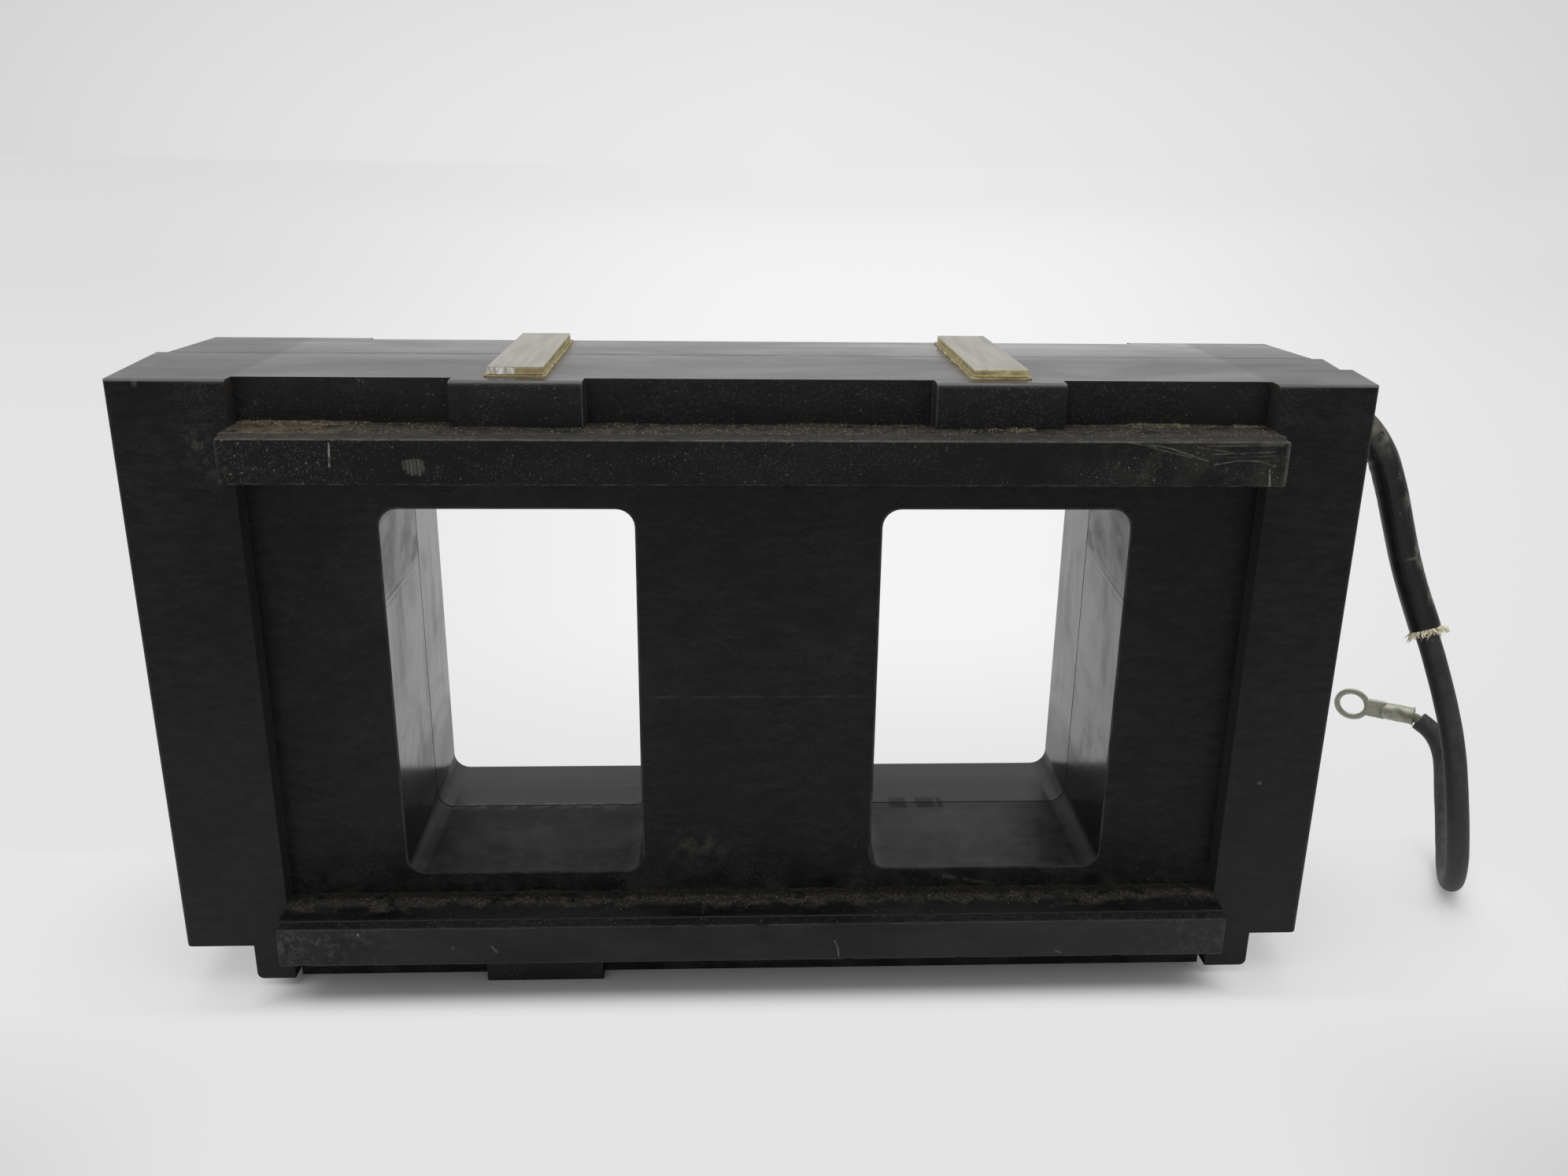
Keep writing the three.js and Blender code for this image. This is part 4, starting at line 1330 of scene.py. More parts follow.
@dataclass(frozen=True)
class Spline:
    """A smooth curve through points, sampled evenly along its length."""

    route: tuple[Point3, ...]
    samples: int = 720
    steps: int = 60
    reach: float = 0.012

    @functools.cached_property
    def fine(self) -> list[Vector]:
        """Closely spaced points in order."""
        points = [Vector(point) for point in self.route]
        before = 2 * points[0] - points[1]
        after = 2 * points[-1] - points[-2]
        padded = [before, *points, after]
        found = [points[0].copy()]
        for index in range(len(points) - 1):
            p0, p1, p2, p3 = padded[index:index + 4]
            gaps = [math.sqrt((b - a).length) for a, b in ((p0, p1), (p1, p2), (p2, p3))]
            start = ((p1 - p0) / gaps[0] - (p2 - p0) / (gaps[0] + gaps[1]) + (p2 - p1) / gaps[1]) * gaps[1]
            end = ((p2 - p1) / gaps[1] - (p3 - p1) / (gaps[1] + gaps[2]) + (p3 - p2) / gaps[2]) * gaps[1]
            for step in range(1, self.steps + 1):
                t = step / self.steps
                found.append(
                    p1 + start * t
                    + (3 * (p2 - p1) - 2 * start - end) * t ** 2
                    + (2 * (p1 - p2) + start + end) * t ** 3
                )
        return found

    @functools.cached_property
    def length(self) -> float:
        """The curve's length in metres."""
        return sum((b - a).length for a, b in zip(self.fine, self.fine[1:]))

    @functools.cached_property
    def frames(self) -> list[tuple[Vector, Vector, Vector]]:
        """Evenly spaced points, each with its direction and a side that doesn't twist."""
        fine = self.fine
        reach = [0.0]
        for a, b in zip(fine, fine[1:]):
            reach.append(reach[-1] + (b - a).length)
        places: list[Vector] = []
        index = 0
        for sample in range(self.samples + 1):
            target = self.length * sample / self.samples
            while index < len(fine) - 2 and reach[index + 1] < target:
                index += 1
            share = (target - reach[index]) / (reach[index + 1] - reach[index])
            places.append(fine[index].lerp(fine[index + 1], min(1.0, share)))
        ways = [
            (places[min(i + 1, self.samples)] - places[max(i - 1, 0)]).normalized()
            for i in range(self.samples + 1)
        ]
        side = ways[0].cross(Vector((0, 0, 1))).normalized()
        found = []
        for place, way in zip(places, ways):
            side = (side - way * side.dot(way)).normalized()
            found.append((place, way, side.copy()))
        return found

    def at(self, share: float) -> tuple[Vector, Vector, Vector]:
        """Find a place on the curve.

        Args:
            share: The share of the length, from 0 to 1.

        Returns:
            The point, the direction and the side there.
        """
        exact = max(0.0, min(1.0, share)) * self.samples
        low = min(int(exact), self.samples - 1)
        part = exact - low
        (p0, w0, s0), (p1, w1, s1) = self.frames[low], self.frames[low + 1]
        return p0.lerp(p1, part), w0.lerp(w1, part).normalized(), s0.lerp(s1, part).normalized()

    def bend(self, share: float) -> Vector:
        """Return the turning per metre at a share of the length, pointing to the inside of the bend."""
        ahead, behind = self.at(share + self.reach)[1], self.at(share - self.reach)[1]
        return (ahead - behind) / (2 * self.reach * self.length)


def tube(
    name: str,
    spline: Spline,
    shares: Point2,
    rings: int,
    sides: int,
    radius: Measure,
    bore: float = 0.0,
) -> Shape:
    """Make a round rod or tube along a spline.

    Args:
        name: The shape's name.
        spline: The centre line.
        shares: Where it starts and ends, as shares of the length.
        rings: Rings along it.
        sides: Points round it.
        radius: The outer radius for a distance along, an angle and the turning towards it.
        bore: The inner radius, or 0 for a rod.

    Returns:
        The shape, with its lay.
    """
    shape = Shape(name)
    start, end = shape.sweep(spline, shares, rings, sides, radius)
    if bore:
        inner_start, inner_end = shape.sweep(spline, shares, rings, sides, lambda *_: bore)
        shape.bridge(start, inner_start)
        shape.bridge(end, inner_end)
    else:
        shape.face(start)
        shape.face(end)
    return shape


# Sub-assemblies


class Level(Enum):
    """The two ledges across the front."""

    UPPER = "upper"
    LOWER = "lower"


class Hand(Enum):
    """The two sides of the block."""

    LEFT = -1
    RIGHT = 1

    @property
    def word(self) -> str:
        """The side's name in the nodes."""
        return self.name.lower()


@dataclass
class Housing:
    """The two moulded half shells, with their sharp edges eased."""

    frame: dict
    easing: float = 0.00028
    merge: float = 0.000002
    flat: float = 0.4
    eased_from: float = 50.0
    sharp_from: float = 35.0
    finish: Finish = Moulding("moulding")

    def build(self) -> None:
        """Make an eased copy of each half and set it in its place."""
        for node, name in (("front_shell", "front_half"), ("rear_shell", "rear_half")):
            report(self._eased(node, name), [node])

    def _eased(self, node: str, name: str) -> bpy.types.Object:
        """Copy a half shell's mesh and round its sharp edges.

        Args:
            node: The CAD node.
            name: The new piece's name.

        Returns:
            The new piece.
        """
        work = bmesh.new()
        work.from_mesh(self.frame["nodes"][node].data)
        bmesh.ops.remove_doubles(work, verts=work.verts, dist=self.merge)
        flat, limit = math.radians(self.flat), math.radians(self.eased_from)
        bmesh.ops.dissolve_limit(work, angle_limit=flat, verts=work.verts, edges=work.edges)
        sharp = [edge for edge in work.edges if len(edge.link_faces) == 2 and edge.calc_face_angle() > limit]
        bmesh.ops.bevel(
            work, geom=sharp, offset=self.easing, segments=2, profile=0.5,
            affect="EDGES", clamp_overlap=True,
        )
        mesh = bpy.data.meshes.new(name)
        work.to_mesh(mesh)
        work.free()
        mesh.shade_smooth()
        mesh.set_sharp_from_angle(angle=math.radians(self.sharp_from))
        mesh.materials.append(material_of(self.finish))
        return settle(bpy.data.objects.new(name, mesh))


@dataclass
class FrontBars:
    """The two bars along the ledges, with worn, slightly uneven edges."""

    radius: float = 0.0006
    steps: int = 260
    nick: float = 0.00028

    upper: Finish = Laminate(
        "upper_bar",
        bottom=0.1157,
        lines=(
            ((-0.0785, 0.1238), (-0.0788, 0.1195), 0.00024, 1.0),
            ((-0.0652, 0.1203), (-0.0651, 0.1190), 0.00046, 0.15),
            ((-0.0645, 0.1205), (-0.0644, 0.1183), 0.00046, 0.22),
            ((-0.0638, 0.1206), (-0.0637, 0.1180), 0.00046, 0.26),
            ((-0.0631, 0.1207), (-0.0631, 0.1182), 0.00046, 0.22),
            ((-0.0624, 0.1207), (-0.0623, 0.1180), 0.00046, 0.26),
            ((-0.0617, 0.1203), (-0.0616, 0.1185), 0.00046, 0.18),
            ((0.0984, 0.1192), (0.0988, 0.1161), 0.00026, 0.6),
            ((0.0700, 0.1246), (0.0760, 0.1236), 0.00022, 0.25),
            ((0.0736, 0.1243), (0.0790, 0.1233), 0.00020, 0.3),
            ((0.0790, 0.1233), (0.0863, 0.1209), 0.00020, 0.35),
            ((0.0745, 0.1236), (0.0830, 0.1216), 0.00018, 0.2),
            ((0.0840, 0.1236), (0.0930, 0.1222), 0.00018, 0.2),
            ((0.0877, 0.1202), (0.0920, 0.1210), 0.00022, 0.3),
            ((0.0920, 0.1210), (0.0962, 0.1209), 0.00022, 0.35),
            ((0.0962, 0.1209), (0.0995, 0.1199), 0.00022, 0.3),
            ((0.0870, 0.1222), (0.0990, 0.1227), 0.00018, 0.25),
            ((0.0900, 0.1216), (0.1000, 0.1220), 0.00016, 0.2),
            ((0.0860, 0.1238), (0.1005, 0.1241), 0.00034, 0.2),
        ),
    )
    lower: Finish = Laminate(
        "lower_bar",
        bottom=0.0114,
        body=(0.0120, 0.0120, 0.0127),
        edge=(0.060, 0.058, 0.053),
        # Dark deck: painted shade on top of the lower bar.
        deck=(0.0045, 0.0042, 0.0038),
        soil=0.15,
        bright=0.30,
        lines=(
            ((0.0176, 0.0162), (0.0183, 0.0146), 0.00020, 0.4),
            ((0.0183, 0.0146), (0.0187, 0.0115), 0.00020, 0.5),
            ((-0.0825, 0.0193), (-0.0824, 0.0189), 0.00030, 0.8),
            ((-0.0632, 0.0158), (-0.0630, 0.0155), 0.00026, 0.8),
            ((-0.0548, 0.0158), (-0.0540, 0.0146), 0.00040, 0.25),
            ((0.0655, 0.0130), (0.0665, 0.0126), 0.00026, 0.6),
        ),
    )

    def build(self) -> None:
        """Make both bars."""
        for level, finish in ((Level.UPPER, self.upper), (Level.LOWER, self.lower)):
            node = f"{level.value}_front_bar"
            report(self._bar(f"{level.value}_bar", node, finish), [node])

    def _bar(self, name: str, node: str, finish: Finish) -> bpy.types.Object:
        """Loft one bar along its length.

        Args:
            name: The piece's name.
            node: The node whose box it fills.
            finish: Its finish.

        Returns:
            The piece.
        """
        low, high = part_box(node)
        shape = Shape(name)
        ends = [(0.0, self.radius), (self.radius * 0.3, self.radius * 0.3), (self.radius, 0.0)]
        places = [(low.x + a, b) for a, b in ends]
        span = high.x - low.x - 2 * self.radius
        places += [(low.x + self.radius + span * i / self.steps, 0.0) for i in range(1, self.steps)]
        places += [(high.x - a, b) for a, b in reversed(ends)]
        shape.loft([self._section(x, inset, low, high) for x, inset in places])
        return shape.finished(finish)

    def _section(self, x: float, inset: float, low: Vector, high: Vector) -> list[Vector]:
        """Outline the bar at one place along it, with its front edges nicked.

        Args:
            x: The place.
            inset: How far the outline is drawn in there.
            low: The bar's lowest corner.
            high: Its highest corner.

        Returns:
            The outline's points in order.
        """
        points = []
        turns = (
            (low.y, low.z, 1, 1, 180),
            (high.y, low.z, -1, 1, 270),
            (high.y, high.z, -1, -1, 0),
            (low.y, high.z, 1, -1, 90),
        )
        for number, (y, z, way_y, way_z, start) in enumerate(turns):
            rough = noise.noise(Vector((x * 260, number * 9.1, low.z * 70)))
            fine = noise.noise(Vector((x * 900, number * 5.3, low.z * 50)))
            bite = max(0.0, rough - 0.28) * self.nick * 2.2 + abs(fine) * self.nick * 0.25
            radius = self.radius * (1.0 if way_y > 0 else 0.4)
            centre_y = y + way_y * (radius + inset + bite)
            centre_z = z + way_z * (radius + inset + bite)
            for step in range(5):
                angle = math.radians(start + 90 * step / 4)
                points.append(Vector((
                    x, centre_y + radius * math.cos(angle), centre_z + radius * math.sin(angle),
                )))
        return points


@dataclass
class ShimPair:
    """The two strips on the top face, and the adhesive that squeezed out round them."""

    radius: float = 0.00014
    steps: int = 130
    across: int = 14
    bead: float = 0.00042
    bead_points: int = 240
    tear: Point2 = (0.0050, 0.0058)

    def build(self) -> None:
        """Make each strip and its adhesive."""
        for hand in Hand:
            strip, bond = f"{hand.word}_shim_strip", f"{hand.word}_shim_bond"
            low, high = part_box(strip)
            tear = (low.x + self.tear[0], low.x + self.tear[1]) if hand is Hand.LEFT else None
            finish = ShimBoard(f"{hand.word}_shim_board", high.z, low.y, tear)
            report(self._strip(f"{hand.word}_shim", low, high, finish), [strip])
            report(self._adhesive(f"{hand.word}_adhesive", bond, hand), [bond])

    def _strip(self, name: str, low: Vector, high: Vector, finish: Finish) -> bpy.types.Object:
        """Loft one strip from front to back.

        Args:
            name: The piece's name.
            low: The strip's lowest corner.
            high: Its highest corner.
            finish: Its finish.

        Returns:
            The piece.
        """
        shape = Shape(name)
        rings = []
        span = high.y - low.y
        for index in range(self.steps + 1):
            share = index / self.steps
            y = low.y + span * (share ** 1.6)
            end = min(y - low.y, high.y - y)
            inset = max(0.0, self.radius - end)
            rings.append(self._outline(y, inset, low, high))
        shape.loft(rings)
        return shape.finished(finish)

    def _outline(self, y: float, inset: float, low: Vector, high: Vector) -> list[Vector]:
        """Outline the strip at one depth, with its upper edges eased.

        Args:
            y: The depth.
            inset: How far the outline is drawn in there.
            low: The strip's lowest corner.
            high: Its highest corner.

        Returns:
            The outline's points in order.
        """
        points: list[Vector] = []
        top = [low.x + (high.x - low.x) * i / self.across for i in range(self.across + 1)]
        for x in top:
            drop = self.radius if x in (top[0], top[-1]) else 0.0
            points.append(Vector((x, y, high.z - drop - inset)))
        points.insert(1, Vector((low.x + self.radius, y, high.z - inset)))
        points.insert(len(points) - 1, Vector((high.x - self.radius, y, high.z - inset)))
        points += [Vector((x, y, low.z + inset)) for x in reversed(top)]
        for point in points:
            point.x += inset * (1 if point.x < (low.x + high.x) / 2 else -1)
        return points

    def _adhesive(self, name: str, node: str, hand: Hand) -> bpy.types.Object:
        """Make a film with a bead of uneven width round its edge.

        Args:
            name: The piece's name.
            node: The film's node.
            hand: Which side it is on.

        Returns:
            The piece.
        """
        low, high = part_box(node)
        around: list[tuple[Vector, Vector]] = []
        size = high - low
        border = 2 * (size.x + size.y)
        for index in range(self.bead_points):
            run = border * index / self.bead_points
            if run < size.x:
                around.append((Vector((low.x + run, low.y, 0)), Vector((0, -1, 0))))
            elif run < size.x + size.y:
                around.append((Vector((high.x, low.y + run - size.x, 0)), Vector((1, 0, 0))))
            elif run < 2 * size.x + size.y:
                around.append((Vector((high.x - (run - size.x - size.y), high.y, 0)), Vector((0, 1, 0))))
            else:
                around.append((Vector((low.x, high.y - (run - 2 * size.x - size.y), 0)), Vector((-1, 0, 0))))
        sections = []
        for place, out in around:
            swell = 0.5 + 0.9 * noise.noise(place * 190 + Vector((hand.value * 3.0, 0, 0)))
            wide = self.bead * max(0.0, swell)
            tall = min(0.0005, 0.0003 + 0.4 * wide)
            profile = (
                (-0.0006, low.z),
                (wide, low.z + 0.00002),
                (wide, low.z + tall * 0.35),
                (wide * 0.55, low.z + tall * 0.85),
                (-0.00045, min(low.z + tall, high.z - 0.00001)),
            )
            sections.append([place + out * reach + Vector((0, 0, height)) for reach, height in profile])
        shape = Shape(name)
        shape.loft(list(zip(*sections)), closed=True)
        return shape.finished(BondFilm("bond_film"), 60)


@dataclass(frozen=True)
class Litter:
    """How the grit lies on one ledge."""

    height: float
    seed: int
    grains: int
    crowding: float
    gap: float


@dataclass
class LedgeDirt:
    """Dust drifted into the inner corners of the ledges and grit lying on them."""

    width: float = 0.0017
    rise: float = 0.0005
    heaps: tuple[Point2, ...] = ((-0.100, -0.074), (0.050, 0.055), (0.075, 0.085), (0.096, 0.1026))
    pitch: float = 0.0007
    gap: float = 0.00002
    tapered: float = 0.0012
    grit_size: Point2 = (0.00006, 0.00018)
    upper: Litter = Litter(PLAN.upper_ledge, 11, 760, 1.3, 0.0005)
    lower: Litter = Litter(PLAN.lower_ledge, 23, 260, 2.2, 0.0022)

    def build(self) -> None:
        """Make the drifts and the grit of both ledges."""
        for level, litter in ((Level.UPPER, self.upper), (Level.LOWER, self.lower)):
            spans = self._spans(level)
            for number, (left, right, back) in enumerate(spans):
                name = f"{level.value}_drift_{number + 1}"
                report(self._drift(name, left, right, back, litter.height))
            ribs = [span[:2] for span in spans if span[2] == PLAN.face]
            report(self._grit(f"{level.value}_grit", litter, ribs))

    @staticmethod
    def _spans(level: Level) -> list[Point3]:
        """List the stretches of a ledge's inner corner.

        Args:
            level: Which ledge.

        Returns:
            The left end, right end and depth of each.
        """
        left, right = PLAN.recess
        if level is Level.LOWER:
            return [(left, right, PLAN.panel)]
        ribs = [
            (PLAN.middle + hand.value * PLAN.rib_offset - PLAN.rib_half,
             PLAN.middle + hand.value * PLAN.rib_offset + PLAN.rib_half)
            for hand in Hand
        ]
        return [
            (left, ribs[0][0], PLAN.panel),
            (*ribs[0], PLAN.face),
            (ribs[0][1], ribs[1][0], PLAN.panel),
            (*ribs[1], PLAN.face),
            (ribs[1][1], right, PLAN.panel),
        ]

    def _drift(
        self, name: str, left: float, right: float, back: float, height: float,
    ) -> bpy.types.Object:
        """Loft one drift along a corner.

        Args:
            name: The piece's name.
            left: Its left end.
            right: Its right end.
            back: The depth of the wall behind it.
            height: The ledge's height.

        Returns:
            The piece.
        """
        count = max(8, int((right - left) / self.pitch))
        gap = self.gap
        rings = []
        for index in range(count + 1):
            x = left + gap + (right - left - 2 * gap) * index / count
            ends = min(1.0, min(x - left, right - x) / self.tapered)
            slow = noise.noise(Vector((x * 95, height * 40, 1.7)))
            quick = noise.noise(Vector((x * 420, height * 40, 5.1)))
            heap = 0.55 * any(a < x < b for a, b in self.heaps) * (height > PLAN.midway[0])
            amount = max(0.12, (0.42 + heap + 0.6 * slow + 0.4 * quick)) * (0.35 + 0.65 * ends)
            wide, tall = self.width * amount, self.rise * amount
            bump = 0.10 * noise.noise(Vector((x * 1300, height, 2.0)))
            rings.append([
                Vector((x, back - gap, height + gap)),
                Vector((x, back - gap, height + tall)),
                Vector((x, back - wide * 0.22, height + tall * (0.55 + bump))),
                Vector((x, back - wide * 0.52, height + tall * (0.28 + bump))),
                Vector((x, back - wide, height + gap)),
            ])
        shape = Shape(name)
        shape.loft(rings)
        return shape.finished(LedgeDust("ledge_dust"), 70)

    def _grit(self, name: str, litter: Litter, ribs: Sequence[Point2]) -> bpy.types.Object:
        """Scatter grains over a ledge, thickest in its inner corner.

        Args:
            name: The piece's name.
            litter: How they lie.
            ribs: The left and right ends of the ribs that narrow the ledge.

        Returns:
            All grains of the ledge as one piece.
        """
        chance = random.Random(litter.seed)
        shape = Shape(name)
        for _ in range(litter.grains):
            x = chance.uniform(PLAN.recess[0] + 0.0006, PLAN.recess[1] - 0.0006)
            spread = chance.random() ** litter.crowding
            on_rib = any(left - 0.0004 < x < right + 0.0004 for left, right in ribs)
            back = (PLAN.face if on_rib else PLAN.panel) - litter.gap
            y = back - spread * (back - (PLAN.face - 0.0061))
            size = chance.uniform(*self.grit_size)
            self._grain(shape, Vector((x, y, litter.height + size * 0.55)), size, chance)
        return shape.finished(Grit("grit"), 20)

    @staticmethod
    def _grain(shape: Shape, centre: Vector, size: float, chance: random.Random) -> None:
        """Add one grain, an uneven eight-sided lump.

        Args:
            shape: The shape that it is added to.
            centre: Its middle.
            size: Its radius.
            chance: The random numbers that give it its own form.
        """
        poles = [Vector((1, 0, 0)), Vector((0, 1, 0)), Vector((-1, 0, 0)), Vector((0, -1, 0))]
        turn = Matrix.Rotation(chance.uniform(0, math.tau), 3, "Z")
        stretch = [chance.uniform(0.6, 1.3) for _ in range(6)]
        ring = shape.ring([centre + turn @ pole * size * s for pole, s in zip(poles, stretch)])
        tops = shape.ring([
            centre + Vector((0, 0, size * 0.6 * stretch[4])),
            centre - Vector((0, 0, size * 0.5)),
        ])
        for index in range(4):
            after = (index + 1) % 4
            shape.face((ring[index], ring[after], tops[0]))
            shape.face((ring[after], ring[index], tops[1]))


@dataclass
class CoilSet:
    """What the housing holds: bobbins, windings, tape, compound and their joints."""

    frame: dict
    turn_pitch: float = 0.0022

    def dress(self) -> None:
        """Give every inner node its finish."""
        wire = EnamelledWire("enamelled_wire")
        dressed: dict[str, Finish] = {"coil_link": wire, "start_tail": wire, "finish_tail": wire}
        for hand in Hand:
            dressed[f"{hand.word}_bobbin"] = Phenolic("phenolic")
            dressed[f"{hand.word}_winding"] = EnamelledWire("winding_turns", self.turn_pitch)
            dressed[f"{hand.word}_winding_wrap"] = TapeWrap("tape_wrap")
            dressed[f"{hand.word}_potting"] = CastCompound("cast_compound")
        dressed["lead_splice"] = TinnedCopper("tinned_copper")
        dressed["lead_tail"] = BushRubber("lead_rubber")
        for node, finish in dressed.items():
            slots = self.frame["nodes"][node].data.materials
            slots.clear()
            slots.append(material_of(finish))
            LOG.info("%s: %s", node, finish.name)


@dataclass
class RingEnd:
    """The ring terminal: a flat ring and its neck, a crimped barrel and the strands in it."""

    centre: float = 0.0158
    ring: float = 0.0046
    hole: float = 0.0032
    half: float = 0.0005
    ease: float = 0.00018
    neck: float = 0.0025
    barrel: float = 0.0078
    outer: float = 0.0025
    inner: float = 0.0018
    crimp: float = 0.0040
    crimp_reach: float = 0.0012
    lip: float = 0.00025
    drawn_in: float = 0.0004
    rounded: float = 0.0009
    slit: float = 0.00022
    clearance: float = 0.0003
    bend: float = 32.0
    tilt: float = -7.0

    def build(self, place: Vector, way: Vector) -> bpy.types.Object:
        """Make the terminal and turn it into its place at the end of the lead.

        Args:
            place: The end of the lead.
            way: The lead's direction there.

        Returns:
            The piece.
        """
        side = Vector((0, 0, 1)).cross(way).normalized()
        turn = Matrix((way, way.cross(side), -side)).transposed()
        turn = turn @ Matrix.Rotation(-math.radians(self.bend), 3, "Z")
        turn = turn @ Matrix.Rotation(math.radians(self.tilt), 3, "X")
        gap = self.clearance + self.outer * math.sin(math.radians(self.bend))
        shape = Shape("ring_end")
        self._plate(shape)
        outside, inside = self._lap(shape, self.outer), self._lap(shape, self.inner)
        shape.bridge(outside[0], inside[0])
        shape.bridge(outside[1], inside[1])
        self._strands(shape, turn.transposed() @ way, gap)
        start = place + way * gap
        shape.points = [start + turn @ point for point in shape.points]
        return shape.finished(TinnedCopper("tinned_copper"), 50)

    def _plate(self, shape: Shape) -> None:
        """Add the ring and its neck as one plate with rounded edges."""
        count = 160
        inner, rim = [], []
        for index in range(count):
            share = index / count
            angle = math.tau * share + 0.35 * math.sin(math.tau * share)
            way = Vector((math.cos(angle), math.sin(angle), 0))
            reach = self.ring
            if way.x < -0.5:
                along = min(self.centre - self.barrel + 0.0006, self.neck / max(abs(way.y / way.x), 1e-6))
                reach = max(self.ring, along / abs(way.x))
            inner.append(way * self.hole)
            rim.append(way * reach)
        low, high = -self.half, self.half
        walls = []
        ease = self.ease
        for inset, z in ((ease, low), (0.0, low + ease), (0.0, high - ease), (ease, high)):
            middle = Vector((self.centre, 0, z))
            walls.append((
                shape.ring([middle + p * (1 + inset / p.length) for p in inner]),
                shape.ring([middle + p * (1 - inset / p.length) for p in rim]),
            ))
        for below, above in zip(walls, walls[1:]):
            shape.bridge(below[0], above[0])
            shape.bridge(below[1], above[1])
        shape.bridge(*walls[0])
        shape.bridge(*walls[-1])

    def _lap(self, shape: Shape, radius: float) -> tuple[list[int], list[int]]:
        """Add one skin of the rolled barrel, pressed flat in its middle by the crimp.

        Args:
            shape: The shape that it is added to.
            radius: The skin's radius at the barrel's mouth.

        Returns:
            The first ring and the last.
        """
        count, steps = 36, 28
        rings = []
        for step in range(steps + 1):
            x = self.barrel * step / steps
            press = math.exp(-((x - self.crimp) / self.crimp_reach) ** 2)
            mouth = self.lip * max(0.0, 1 - x / self.rounded)
            nose = self.drawn_in * max(0.0, (x - self.barrel + self.rounded) / self.rounded)
            points = []
            for index in range(count):
                angle = math.tau * index / count
                slit = self.slit * math.exp(-((angle - math.pi / 2) / 0.12) ** 2)
                r = radius - self.lip + mouth - nose - slit
                y = r * math.cos(angle) * (1 + 0.10 * press)
                points.append(Vector((x, y, r * math.sin(angle) * (1 - 0.24 * press))))
            rings.append(shape.ring(points))
        for first, second in zip(rings, rings[1:]):
            shape.bridge(first, second)
        return rings[0], rings[-1]

    def _strands(self, shape: Shape, lead_way: Vector, gap: float) -> None:
        """Add the strands that leave the wire, bend into the barrel and show at its nose.

        Args:
            shape: The shape that they are added to.
            lead_way: The lead's direction, in the terminal's own axes.
            gap: The way from the end of the wire to the barrel's mouth.
        """
        chance = random.Random(3)
        spots = [(0.0, 0.0)]
        for lap, count in ((0.00052, 6), (0.00104, 12)):
            steps = [math.tau * i / count for i in range(count)]
            spots += [(lap * math.cos(step), lap * math.sin(step)) for step in steps]
        straight = Quaternion()
        bent = Vector((1, 0, 0)).rotation_difference(lead_way)
        for y, z in spots:
            end = self.barrel + 0.0002 + chance.uniform(0.0, 0.0009)
            stations = (
                (lead_way * (0.00001 - gap), bent, 1.0, 0.00022),
                (lead_way * (-0.5 * gap), bent.slerp(straight, 0.4), 1.0, 0.00024),
                (Vector((0.0005, 0, 0)), straight, 1.0, 0.00024),
                (Vector((self.crimp, 0, 0)), straight, 0.78, 0.00022),
                (Vector((end - 0.0001, 0, 0)), straight, 1.0, 0.00024),
                (Vector((end, 0, 0)), straight, 1.0, 0.00014),
            )
            rings = []
            for middle, turn, press, thick in stations:
                rings.append([
                    middle + turn @ Vector((0, y + thick * math.cos(a), z * press + thick * math.sin(a)))
                    for a in (math.tau * i / 8 for i in range(8))
                ])
            shape.loft(rings)


